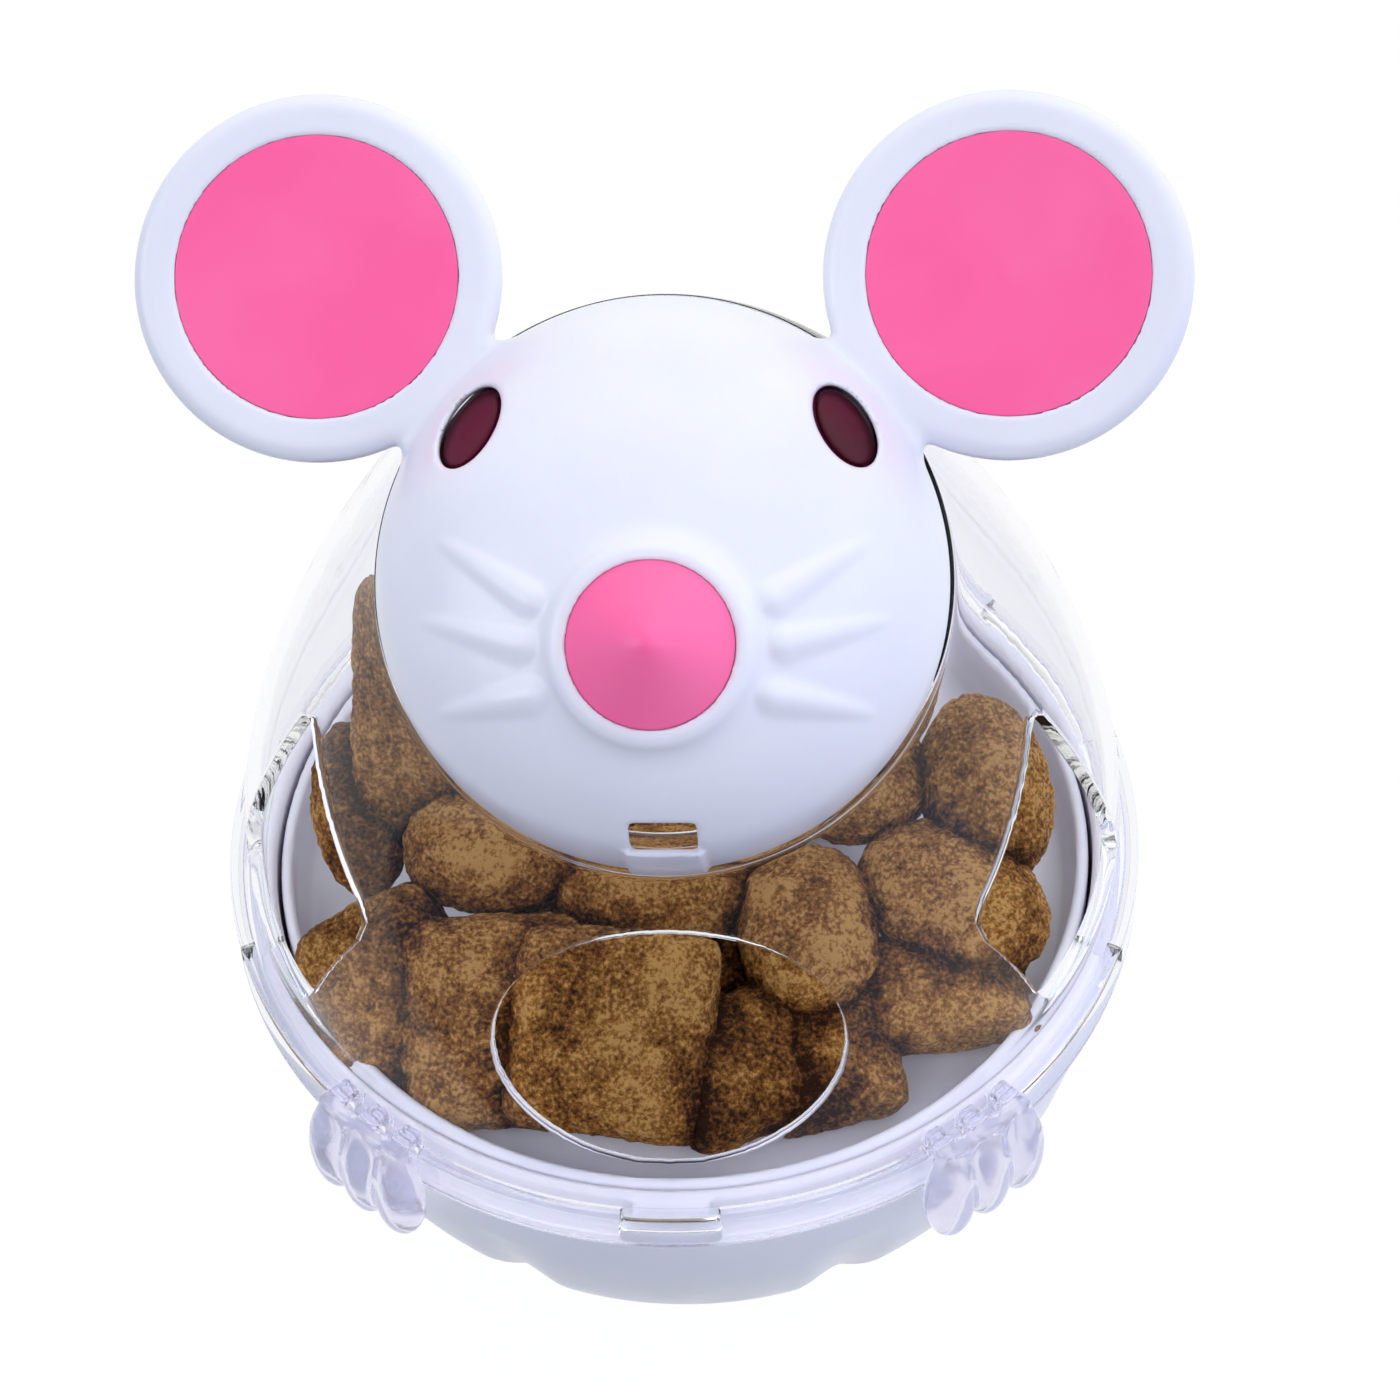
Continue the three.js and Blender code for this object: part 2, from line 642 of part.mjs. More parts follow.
function makeEarDisc(side) {
  const low = EAR.low + EAR.thickness - EAR_RECESS.depth + GAP;
  const high = EAR.low + EAR.thickness - 0.1;
  const radius = EAR_RECESS.radius - GAP;
  const disc = turned([
    [0, EAR.low + 0.2],
    [EAR_RECESS.peg, EAR.low + 0.2],
    [EAR_RECESS.peg, low],
    [radius, low],
    [radius, high - 0.3],
    [radius - 0.3, high],
    [0, high],
  ], 32);
  return disc.translate([side * EAR.x, EAR.y, 0]);
}

// ---- Assembly ----

const toy = new THREE.Group();

toy.add(mesh("base_bowl", makeBowl(), whitePlastic));
toy.add(mesh("ballast_weight", makeWeight(), steel));
toy.add(mesh("ballast_washer", makeWasher(), steel));
const washerTop = WEIGHT.bottom + WEIGHT.thickness + GAP + WASHER.thickness;
const ballastScrew = makeScrew(BALLAST_SCREW, washerTop + GAP, BALLAST_SCREW.tip);
toy.add(mesh("ballast_screw", ballastScrew, steel));
toy.add(mesh("treat_tray", makeTray(), whitePlastic));
postPlaces().forEach((at, i) => {
  const seat = TRAY.bottom + WALL + GAP;
  const solid = makeScrew(TRAY_SCREW, seat, seat - TRAY_SCREW.length);
  const screw = mesh("tray_screw_" + (i + 1), solid, steel);
  screw.position.copy(at);
  toy.add(screw);
});

toy.add(mesh("clear_cover", makeCover(), clearPlastic));
toy.add(mesh("front_paw_left", makePaw(-1), clearPlastic));
toy.add(mesh("front_paw_right", makePaw(1), clearPlastic));

const head = new THREE.Group();
head.position.copy(NECK.centre);
head.rotation.x = rad(NECK.tilt);
head.add(mesh("head_shell", makeHeadShell(), whitePlastic));
head.add(mesh("ear_disc_left", makeEarDisc(-1), pinkPlastic));
head.add(mesh("ear_disc_right", makeEarDisc(1), pinkPlastic));
head.add(mesh("nose_cone", makeNose(), pinkPlastic));
head.add(mesh("eye_left", makeEye(-1), eyePlastic));
head.add(mesh("eye_right", makeEye(1), eyePlastic));
toy.add(head);

export default toy;
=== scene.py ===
"""Looks for a mouse-shaped tumbler that drops pet treats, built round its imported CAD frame.

Shapes are worked out in millimetres in the part's frame: +Z is up, the mouse faces -Y, and the origin
is the middle of the foot. The head's pieces use its own frame: X to the side, Y up the face, Z out of
the face. Moulded pieces are signed distance fields that are meshed on a fine grid, the clear cover is
a sheet with thickness, and the turned pieces are profiles.
"""

import math

import bpy
import numpy as np
from mathutils import Matrix, Vector


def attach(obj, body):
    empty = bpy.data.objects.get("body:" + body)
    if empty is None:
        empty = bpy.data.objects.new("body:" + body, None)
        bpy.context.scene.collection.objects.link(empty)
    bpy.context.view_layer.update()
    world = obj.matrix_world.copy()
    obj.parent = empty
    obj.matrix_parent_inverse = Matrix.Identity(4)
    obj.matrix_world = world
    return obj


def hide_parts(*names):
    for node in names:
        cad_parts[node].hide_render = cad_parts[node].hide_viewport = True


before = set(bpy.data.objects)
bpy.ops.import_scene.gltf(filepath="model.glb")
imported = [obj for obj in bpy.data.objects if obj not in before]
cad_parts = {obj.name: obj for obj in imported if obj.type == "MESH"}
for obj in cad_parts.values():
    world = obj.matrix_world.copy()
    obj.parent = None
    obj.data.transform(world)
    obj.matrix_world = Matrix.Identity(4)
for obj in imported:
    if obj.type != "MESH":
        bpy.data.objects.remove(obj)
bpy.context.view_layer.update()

MM = 0.001

# ---- Driving dimensions, in millimetres and degrees ----

GAP = 0.3
WALL = 1.4
LEDGE = 46.4  # height of the cover's ledge above the foot
FLANGE_RADIUS = 44.0
SKIRT_HEIGHT = 5.0

BOWL_RADIUS = 42.2
BOWL_CENTRE = 40.5
BOWL_INNER = 39.6
BOWL_FLOOR = 3.5
RIM_RADIUS = 41.0
RIM_TOP = LEDGE - WALL - GAP
FLUTE_DEPTH = 1.4
FLUTE_HALF_WIDTH = 7.0
FLUTE_END, FLUTE_EASE = 1.12, 0.7  # the flutes fade out before the rim, and how slowly
FLUTE_ANGLES = (24, 66, 114, 156, 204, 246, 294, 336)
BOSS_RADIUS, BOSS_TOP, BOSS_HOLE, BOSS_HOLE_BOTTOM = 8.0, 5.9, 1.8, 1.5
POST_RADIUS, POST_RING, POST_HOLE, POST_HOLE_BOTTOM = 3.5, 27.0, 1.7, 20.0
POST_ANGLES = (60, 180, 300)
POST_MIDDLE, POST_HALF_HEIGHT = 19.0, 17.1
BOSS_LOW = 1.0  # the boss starts inside the bowl's floor
LUGS = ((0, 5), (59, 13), (121, 13), (180, 5), (239, 13), (301, 13))  # middle angle, half width
LUG_OUT, LUG_LOW, LUG_HIGH = 42.3, LEDGE - 4, LEDGE - 2.2

TRAY_RADIUS, TRAY_FOOT, TRAY_WALL = 39.2, 38.6, 1.2
TRAY_BOTTOM, TRAY_TOP = LEDGE - 10, LEDGE - 2
TRAY_FOOT_RISE = 4.0

DOME_RADIUS = 41.5
DOME_LEAN, DOME_PULL = math.radians(22), 0.31
NECK_LEAN, NECK_PULL = math.radians(70), 0.09
NECK_CENTRE = np.array([0, -3.25, LEDGE + 41.3])
NECK_TILT = math.radians(37)
NECK_RADIUS = 26.1
COLLAR_HEIGHT = 2.0
SPIGOT_RADIUS, SPIGOT_HEIGHT = 23.6, 4.0
OVAL_HALF_WIDTH, OVAL_HALF_HEIGHT, OVAL_RISE, OVAL_REACH = 16.4, 11.2, 11.75, 12.0
WINDOW_BACK, WINDOW_FRONT, WINDOW_LOW = -5.0, -22.5, 3.0
WINDOW_BACK_TOP, WINDOW_FRONT_TOP = 26.5, 15.0
WINDOW_ROUND, WINDOW_FROM = 2.5, 20.0  # corners, and how far from the middle the cut starts
SKIRT_WINDOW_LOW, SKIRT_WINDOW_HIGH, SKIRT_WINDOW_SPARE = LEDGE - 4.3, LEDGE - 0.9, 1.2

TOE_ANGLES = (34.5, 39.7, 45)
TOE_RING, TOE_RADIAL, TOE_ACROSS, TOE_TALL = 45.15, 2.5, 2.6, 6.4
TOE_MIDDLE = LEDGE - 6
PEG_INNER, PEG_OUTER, PEG_WIDTH = 42.3, 43.3, 1.8
PEG_HALF_HEIGHT, PEG_DROP = 0.9, 0.2
TAB_TOP, TAB_OVERLAP = 1.2, 0.6
KNUCKLE_HALF, KNUCKLE_PROUD = 6.9, 0.7  # half width in degrees
KNUCKLE_MIDDLE, KNUCKLE_HALF_HEIGHT = LEDGE - 0.9, 2.1
TOE_BLEND = 0.7

CAP_RADIUS, CAP_HEIGHT, CAP_SKIRT, CAP_DROP = 25.6, 22.0, 1.5, 6.3
CAP_RIM = COLLAR_HEIGHT + GAP
CAP_BASE = CAP_RIM + CAP_SKIRT
CAP_RISE = CAP_HEIGHT - CAP_SKIRT
CAP_TOP = CAP_RIM + CAP_HEIGHT
SEAT_RADIUS, SEAT_RECESS, SEAT_DEPTH, SEAT_PROUD, SEAT_HOLE = 8.7, 7.25, 0.9, 0.4, 2.4
SEAT_ROUND, SEAT_BLEND = 0.9, 2.2
NOSE_RADIUS, NOSE_HEIGHT, NOSE_STEM, NOSE_STEM_LENGTH = 7.1, 6.6, 2.1, 7.0
NOSE_TIP = 1.6  # how round the cone's tip is
NOSE_RIM = 0.7  # upright edge under the cone
SNUG = 0.03  # gap that still shows round a pressed-in piece
EAR_X, EAR_Y, EAR_RADIUS, EAR_THICKNESS = 30.8, 27.3, 16.5, 3.4
EAR_ROUND = 1.58  # round edge of the ear plates, inside the chamfer of the CAD
EAR_LOW = CAP_RIM + 0.4
EAR_HIGH = EAR_LOW + EAR_THICKNESS
EAR_RECESS, EAR_RECESS_DEPTH, EAR_PEG = 12.7, 1.5, 1.5
EAR_NECK_HALF, EAR_NECK_FLARE = 6.3, 0.09  # half width at the waist, and how it widens from there
EAR_WAIST, EAR_NECK_ROOT, EAR_NECK_FAR = 1.4, 6.0, 8.0
EYE_X, EYE_Y, EYE_LONG, EYE_SHORT, EYE_TURN = 16.4, 13.2, 4.1, 2.3, math.radians(29)
EYE_RECESS, EYE_PAD, EYE_PAD_SPREAD = 1.1, 1.4, 1.2
EYE_CUT_LOW = 6.0
WHISKERS = (((18.4, 2.9), (10.6, -2.2)), ((20.0, -3.9), (11.5, -6.1)), ((18.6, -11.9), (10.6, -10.7)))
CHIN_X, CHIN_WIDTH, CHIN_LOW, CHIN_HIGH = 0.6, 6.0, -23.7, -21.4
CHIN_CUT_MIDDLE, CHIN_CUT_HALF = 17.0, 15.0
CHIN_PAD_TOP = 16.0
CHIN_TAB = 0.45  # how far the pad under the chin slot stands out

# How fine each piece's grid is
BOWL_STEP, TRAY_STEP, PAW_STEP, HEAD_STEP, EYE_STEP = 0.55, 0.5, 0.28, 0.42, 0.22
EDGE = 1.5  # empty margin round a grid

# ---- Vectors ----

SIDE = np.array([1.0, 0, 0])
FACE_UP = np.array([0, math.cos(NECK_TILT), math.sin(NECK_TILT)])
FACE_OUT = np.array([0, -math.sin(NECK_TILT), math.cos(NECK_TILT)])


def heading(angle):
    """Flat unit directions, turned from -Y towards +X."""
    angle = np.asarray(angle, float)
    return np.stack([np.sin(angle), -np.cos(angle), np.zeros_like(angle)], -1)


def head_point(points):
    """Points of the head's own frame, put in the part's frame."""
    return NECK_CENTRE + points @ np.stack([SIDE, FACE_UP, FACE_OUT])


def neck_ring(angle, radius, height):
    """Points round the head's axis, in the part's frame."""
    angle, radius, height = np.broadcast_arrays(angle, radius, height)
    local = np.stack([radius * np.sin(angle), -radius * np.cos(angle), height], -1)
    return head_point(local)


def turned_about_z(points, angle):
    """The points as they are seen from a frame that is turned by an angle about Z."""
    c, s = math.cos(angle), math.sin(angle)
    x, y, z = points.T
    return np.stack([c * x + s * y, c * y - s * x, z], -1)


# ---- Signed distance fields ----


def smooth_min(a, b, k):
    h = np.clip(0.5 + 0.5 * (b - a) / k, 0, 1)
    return b + (a - b) * h - k * h * (1 - h)


def smooth_max(a, b, k):
    return -smooth_min(-a, -b, k)


def disc(x, y, z, radius, low, high, edge):
    """Upright round plate with rounded edges."""
    across = np.hypot(x, y) - (radius - edge)
    along = np.abs(z - (low + high) / 2) - ((high - low) / 2 - edge)
    return np.hypot(np.maximum(across, 0), np.maximum(along, 0)) + np.minimum(
        np.maximum(across, along), 0
    ) - edge


def brick(x, y, z, half, edge):
    """Block about the origin with rounded edges."""
    q = [np.abs(v) - (h - edge) for v, h in zip((x, y, z), half)]
    outside = np.sqrt(sum(np.maximum(v, 0) ** 2 for v in q))
    return outside + np.minimum(np.maximum(np.maximum(q[0], q[1]), q[2]), 0) - edge


def ellipse(x, y, half_x, half_y):
    """Distance to an ellipse, near enough close to its edge."""
    k0 = np.hypot(x / half_x, y / half_y)
    k1 = np.hypot(x / half_x**2, y / half_y**2)
    return k0 * (k0 - 1) / np.maximum(k1, 1e-6)


def ellipsoid(x, y, z, half):
    k0 = np.sqrt((x / half[0]) ** 2 + (y / half[1]) ** 2 + (z / half[2]) ** 2)
    k1 = np.sqrt((x / half[0] ** 2) ** 2 + (y / half[1] ** 2) ** 2 + (z / half[2] ** 2) ** 2)
    return k0 * (k0 - 1) / np.maximum(k1, 1e-6)


def from_angle(x, y, middle):
    """Angle in degrees away from a heading, always positive."""
    angle = np.degrees(np.arctan2(x, -y))
    return np.abs((angle - middle + 180) % 360 - 180)


# ---- Meshing a field ----

BLOCK = 8  # grid steps across a block, the unit that is skipped when it is far from the surface
NEAR = 1.5  # a block is worked out when its middle is nearer to the surface than this share of it


def lattice(counts):
    return np.stack(np.meshgrid(*[np.arange(n) for n in counts], indexing="ij"), -1).reshape(-1, 3)


def sampled(field, low, high, step):
    """Field values on a grid, worked out only near the surface."""
    blocks = np.ceil((high - low) / (step * BLOCK)).astype(int)
    middles = low + (lattice(blocks) + 0.5) * step * BLOCK
    rough = field(middles).astype(np.float32).reshape(blocks)
    values = np.ones(blocks * BLOCK + 1, np.float32)
    values[:-1, :-1, :-1] = rough.repeat(BLOCK, 0).repeat(BLOCK, 1).repeat(BLOCK, 2)
    near = np.argwhere(np.abs(rough) < NEAR * step * BLOCK)
    inner = lattice((BLOCK + 1,) * 3)
    for some in np.array_split(near, max(1, len(near) // 2000)):
        index = (some[:, None, :] * BLOCK + inner[None]).reshape(-1, 3)
        values[tuple(index.T)] = field(low + index * step)
    return values


def net(values):
    """Surface net of grid values: points in grid steps, and quads that face outwards."""
    inside = values < 0
    shape = np.array(values.shape) - 1
    corners = lattice((2, 2, 2))
    window = lambda grid, c: grid[tuple(slice(a, a + n) for a, n in zip(c, shape))]
    count = sum(window(inside, c).astype(np.uint8) for c in corners)
    cells = np.argwhere((count > 0) & (count < 8))
    number = np.full(shape, -1, np.int32)
    number[tuple(cells.T)] = np.arange(len(cells))
    total = np.zeros((len(cells), 3))
    hits = np.zeros(len(cells))
    for a in corners:
        for b in corners:
            if (b - a).sum() != 1 or np.abs(b - a).sum() != 1:
                continue
            va = values[tuple((cells + a).T)]
            vb = values[tuple((cells + b).T)]
            crossed = (va < 0) != (vb < 0)
            share = np.where(crossed, va / np.where(crossed, va - vb, 1), 0)
            total += crossed[:, None] * (a + share[:, None] * (b - a))
            hits += crossed
    points = cells + total / hits[:, None]
    quads = []
    for axis in range(3):
        step, u, v = (np.eye(3, dtype=int)[(axis + i) % 3] for i in range(3))
        lows = tuple(slice(None, -1) if s else slice(None) for s in step)
        highs = tuple(slice(1, None) if s else slice(None) for s in step)
        at = np.argwhere(inside[lows] != inside[highs])
        at = at[((at @ u) > 0) & ((at @ v) > 0) & ((at @ u) < shape @ u) & ((at @ v) < shape @ v)]
        ring = [number[tuple((at - shift).T)] for shift in (0 * u, u, u + v, v)]
        quad = np.stack(ring, -1)
        flip = ~inside[tuple(at.T)]
        quad[flip] = quad[flip][:, ::-1]
        quads.append(quad)
    return points, np.concatenate(quads)


def settled(field, points, rounds=3, reach=0.02):
    """Points moved along the field's slope until they lie on its zero surface."""
    for _ in range(rounds):
        slope = np.stack(
            [field(points + reach * e) - field(points - reach * e) for e in np.eye(3)], -1
        ) / (2 * reach)
        size = np.maximum((slope**2).sum(-1), 0.2)
        move = field(points)[:, None] * slope / size[:, None]
        points = points - np.clip(move, -0.3, 0.3)
    return points


def evened(points, quads, share):
    """Points moved part of the way to the middle of their neighbours."""
    total = np.zeros_like(points)
    hits = np.zeros(len(points))
    for i in range(4):
        for j in (1, 3):
            for axis in range(3):
                total[:, axis] += np.bincount(
                    quads[:, i], points[quads[:, (i + j) % 4], axis], len(points)
                )
            hits += np.bincount(quads[:, i], minlength=len(points))
    return points + share * (total / hits[:, None] - points)


def field_piece(name, field, low, high, step, to_part=None):
    """Object meshed from a signed distance field."""
    low, high = np.array(low, float), np.array(high, float)
    points, quads = net(sampled(field, low, high, step))
    points = settled(field, low + points * step)
    points = settled(field, evened(points, quads, 0.5), 2)
    if to_part is not None:
        points = to_part(points)
    return piece(name, points, quads.tolist())


def piece(name, points, faces):
    """Smooth-shaded mesh object from points in millimetres."""
    mesh = bpy.data.meshes.new(name)
    mesh.from_pydata((np.asarray(points) * MM).tolist(), [], faces)
    mesh.polygons.foreach_set("use_smooth", [True] * len(mesh.polygons))
    mesh.update()
    made = bpy.data.objects.new(name, mesh)
    bpy.context.scene.collection.objects.link(made)
    return made


def turned(name, profile, sides, to_part):
    """Piece of revolution about the head's Z from [radius, height] pairs, from axis to axis."""
    profile = np.array(profile, float)
    angle = np.arange(sides) * 2 * math.pi / sides
    ring = profile[1:-1]
    x = ring[:, 0, None] * np.cos(angle)
    y = ring[:, 0, None] * np.sin(angle)
    z = np.repeat(ring[:, 1, None], sides, 1)
    points = np.stack([x, y, z], -1).reshape(-1, 3)
    ends = [[0, 0, profile[0, 1]], [0, 0, profile[-1, 1]]]
    points = np.concatenate([points, ends])
    faces = []
    for row in range(len(ring) - 1):
        for j in range(sides):
            k = (j + 1) % sides
            low, high = row * sides, (row + 1) * sides
            faces.append((low + j, low + k, high + k, high + j))
    bottom, top = len(points) - 2, len(points) - 1
    last = (len(ring) - 1) * sides
    for j in range(sides):
        k = (j + 1) % sides
        faces.append((bottom, k, j))
        faces.append((top, last + j, last + k))
    return piece(name, to_part(points), faces)


def rounded(profile, radius, steps=4):
    """Profile whose inner corners are cut by short curves."""
    profile = [np.array(p, float) for p in profile]
    made = [profile[0]]
    for before, at, after in zip(profile, profile[1:], profile[2:]):
        a, b = before - at, after - at
        reach = min(radius, 0.45 * np.linalg.norm(a), 0.45 * np.linalg.norm(b))
        start = at + a / np.linalg.norm(a) * reach
        end = at + b / np.linalg.norm(b) * reach
        for i in range(steps + 1):
            t = i / steps
            made.append((1 - t) ** 2 * start + 2 * t * (1 - t) * at + t * t * end)
    made.append(profile[-1])
    return made


# ---- Materials ----


class Look:
    """A material with a Principled shader and a few shorthands for its nodes."""

    def __init__(self, name, **sockets):
        self.material = bpy.data.materials.new(name)
        self.material.use_nodes = True
        self.tree = self.material.node_tree
        self.tree.nodes.clear()
        self.shader = self.node("ShaderNodeBsdfPrincipled")
        output = self.node("ShaderNodeOutputMaterial")
        self.tree.links.new(self.shader.outputs["BSDF"], output.inputs["Surface"])
        for socket, value in sockets.items():
            self.shader.inputs[socket.replace("_", " ")].default_value = value
        self.place = self.node("ShaderNodeTexCoord").outputs["Object"]

    def node(self, kind, **settings):
        made = self.tree.nodes.new(kind)
        for key, value in settings.items():
            setattr(made, key, value)
        return made

    def wire(self, source, node, socket):
        self.tree.links.new(source, node.inputs[socket])

    def noise(self, size, detail=3.0, rough=0.55):
        """Noise whose lumps are about size millimetres across."""
        made = self.node("ShaderNodeTexNoise")
        self.wire(self.place, made, "Vector")
        made.inputs["Scale"].default_value = 1 / (size * MM)
        made.inputs["Detail"].default_value = detail
        made.inputs["Roughness"].default_value = rough
        return made.outputs["Fac"]

    def spread(self, value, low, high, start=0.3, end=0.7):
        """Value mapped from start..end to low..high."""
        made = self.node("ShaderNodeMapRange")
        self.wire(value, made, "Value")
        for socket, number in zip(("From Min", "From Max", "To Min", "To Max"), (start, end, low, high)):
            made.inputs[socket].default_value = number
        return made.outputs["Result"]

    def ramp(self, value, stops):
        made = self.node("ShaderNodeValToRGB")
        elements = made.color_ramp.elements
        while len(elements) < len(stops):
            elements.new(0.5)
        for element, (at, color) in zip(elements, stops):
            element.position = at
            element.color = (*color, 1)
        self.wire(value, made, "Fac")
        return made.outputs["Color"]

    def add(self, a, b, share):
        """a plus share times b."""
        made = self.node("ShaderNodeMath", operation="MULTIPLY_ADD")
        self.wire(b, made, 0)
        made.inputs[1].default_value = share
        self.wire(a, made, 2)
        return made.outputs[0]

    def bump(self, height, depth, strength=1.0):
        """Bump whose full height is depth millimetres."""
        made = self.node("ShaderNodeBump")
        made.inputs["Strength"].default_value = strength
        made.inputs["Distance"].default_value = depth * MM
        self.wire(height, made, "Height")
        self.wire(made.outputs["Normal"], self.shader, "Normal")


def moulded(name, dark, light, rough_low, rough_high, peel):
    """Opaque moulded plastic: faint colour flow, uneven gloss and a fine orange-peel skin."""
    made = Look(name, IOR=1.5, Coat_Weight=0.25, Coat_Roughness=0.12)
    flow = made.noise(14, 2)
    made.wire(made.ramp(flow, [(0.35, dark), (0.65, light)]), made.shader, "Base Color")
    made.wire(made.spread(made.noise(5), rough_low, rough_high), made.shader, "Roughness")
    skin = made.add(made.noise(0.9, 2), made.noise(6, 2), 0.8)
    made.bump(skin, peel)
    return made


white_look = moulded("white_plastic", (0.76, 0.755, 0.87), (0.79, 0.785, 0.895), 0.28, 0.38, 0.005)
white_look.shader.inputs["Subsurface Weight"].default_value = 0.12
white_look.shader.inputs["Subsurface Scale"].default_value = 0.002
pink_look = moulded("pink_plastic", (0.99, 0.105, 0.34), (1.0, 0.13, 0.37), 0.4, 0.52, 0.01)
eye_look = moulded("eye_plastic", (0.06, 0.003, 0.013), (0.1, 0.005, 0.024), 0.3, 0.4, 0.004)
eye_look.shader.inputs["Coat Weight"].default_value = 0.0
eye_look.shader.inputs["Specular IOR Level"].default_value = 0.2

clear_look = Look(
    "clear_plastic",
    Base_Color=(0.925, 0.925, 0.955, 1),
    Roughness=0.02,
    IOR=1.3,
    Transmission_Weight=1.0,
)
clear_look.bump(clear_look.add(clear_look.noise(9, 2), clear_look.noise(2.5, 2), 0.3), 0.02)

paw_look = Look(
    "clear_plastic_thick",
    Base_Color=(0.8, 0.79, 0.92, 1),
    Roughness=0.06,
    IOR=1.42,
    Transmission_Weight=0.86,
)
paw_look.bump(paw_look.noise(3, 2), 0.03)

steel_look = Look("steel", Metallic=1.0)
steel_look.wire(
    steel_look.ramp(steel_look.noise(2), [(0.3, (0.42, 0.43, 0.45)), (0.7, (0.6, 0.61, 0.63))]),
    steel_look.shader,
    "Base Color",
)
steel_look.wire(steel_look.spread(steel_look.noise(0.8), 0.25, 0.45), steel_look.shader, "Roughness")
steel_look.bump(steel_look.noise(0.4), 0.01)


def kibble_look():
    """Baked crumb: fine golden grains over a brown ground, with a random tone for each treat, and painted
    shade that darkens the pits and the crevices where treats meet and lightens the lumps.
    """
    made = Look("baked_crumb", IOR=1.4, Specular_IOR_Level=0.3)
    # The point attribute holds painted shade from each treat's relief and from its nearness to other
    # treats, plus the treat's random tint.
    painted_shade_and_tint = made.node("ShaderNodeAttribute", attribute_name="painted_shade_and_tint").outputs["Fac"]
    grain = made.add(made.noise(0.42, 3, 0.6), made.noise(1.2, 3), 0.35)
    tone_and_painted_shade = made.add(made.add(grain, painted_shade_and_tint, 0.3), made.noise(5, 2), 0.3)
    color = made.ramp(
        tone_and_painted_shade,
        [
            (0.55, (0.03, 0.008, 0.002)),
            (0.73, (0.2, 0.072, 0.014)),
            (0.9, (0.46, 0.2, 0.045)),
            (1.0, (0.7, 0.38, 0.12)),
        ],
    )
    made.wire(color, made.shader, "Base Color")
    made.wire(made.spread(made.noise(0.7), 0.55, 0.9), made.shader, "Roughness")
    made.bump(made.add(made.noise(0.45, 5, 0.7), made.noise(1.3, 3), 1.0), 0.9)
    return made


crumb_look = kibble_look()


def finish_piece(made, look, body, slot, *nodes):
    """Gives a piece its material and its body, and hides the CAD nodes it stands for; slot is not used."""
    made.data.materials.clear()
    made.data.materials.append(look.material)
    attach(made, body)
    if nodes:
        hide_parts(*nodes)
    return made


# ---- Camera ----

VIEW_ELEVATION = math.radians(53)
VIEW_DISTANCE = 480.0  # from the middle of the ledge
VIEW_SIDESTEP = 22.5
VIEW_PITCH = math.radians(1.535)  # the lens looks this far above the middle of the ledge
VIEW_YAW = math.radians(0.196)  # and this far to its right
LENS, SENSOR = 127.6, 36.0


def make_camera():
    eye = Vector((0, -math.cos(VIEW_ELEVATION), math.sin(VIEW_ELEVATION))) * VIEW_DISTANCE
    eye += Vector((VIEW_SIDESTEP, 0, 0))
    forward = -eye.normalized()
    right = (Vector((1, 0, 0)) - forward * forward.x).normalized()
    up = right.cross(forward)
    forward, up = (
        forward * math.cos(VIEW_PITCH) + up * math.sin(VIEW_PITCH),
        up * math.cos(VIEW_PITCH) - forward * math.sin(VIEW_PITCH),
    )
    forward, right = (
        forward * math.cos(VIEW_YAW) + right * math.sin(VIEW_YAW),
        right * math.cos(VIEW_YAW) - forward * math.sin(VIEW_YAW),
    )
    place = eye * MM + Vector((0, 0, LEDGE * MM))
    data = bpy.data.cameras.new("camera")
    data.lens, data.sensor_width = LENS, SENSOR
    data.clip_start, data.clip_end = 0.01, 20
    camera = bpy.data.objects.new("camera", data)
    bpy.context.scene.collection.objects.link(camera)
    camera.matrix_world = Matrix.Translation(place) @ Matrix(
        ((right.x, up.x, -forward.x), (right.y, up.y, -forward.y), (right.z, up.z, -forward.z))
    ).to_4x4()
    bpy.context.scene.camera = camera


make_camera()

# ---- Bowl and tray ----


def post_places():
    return heading(np.radians(POST_ANGLES)) * POST_RING


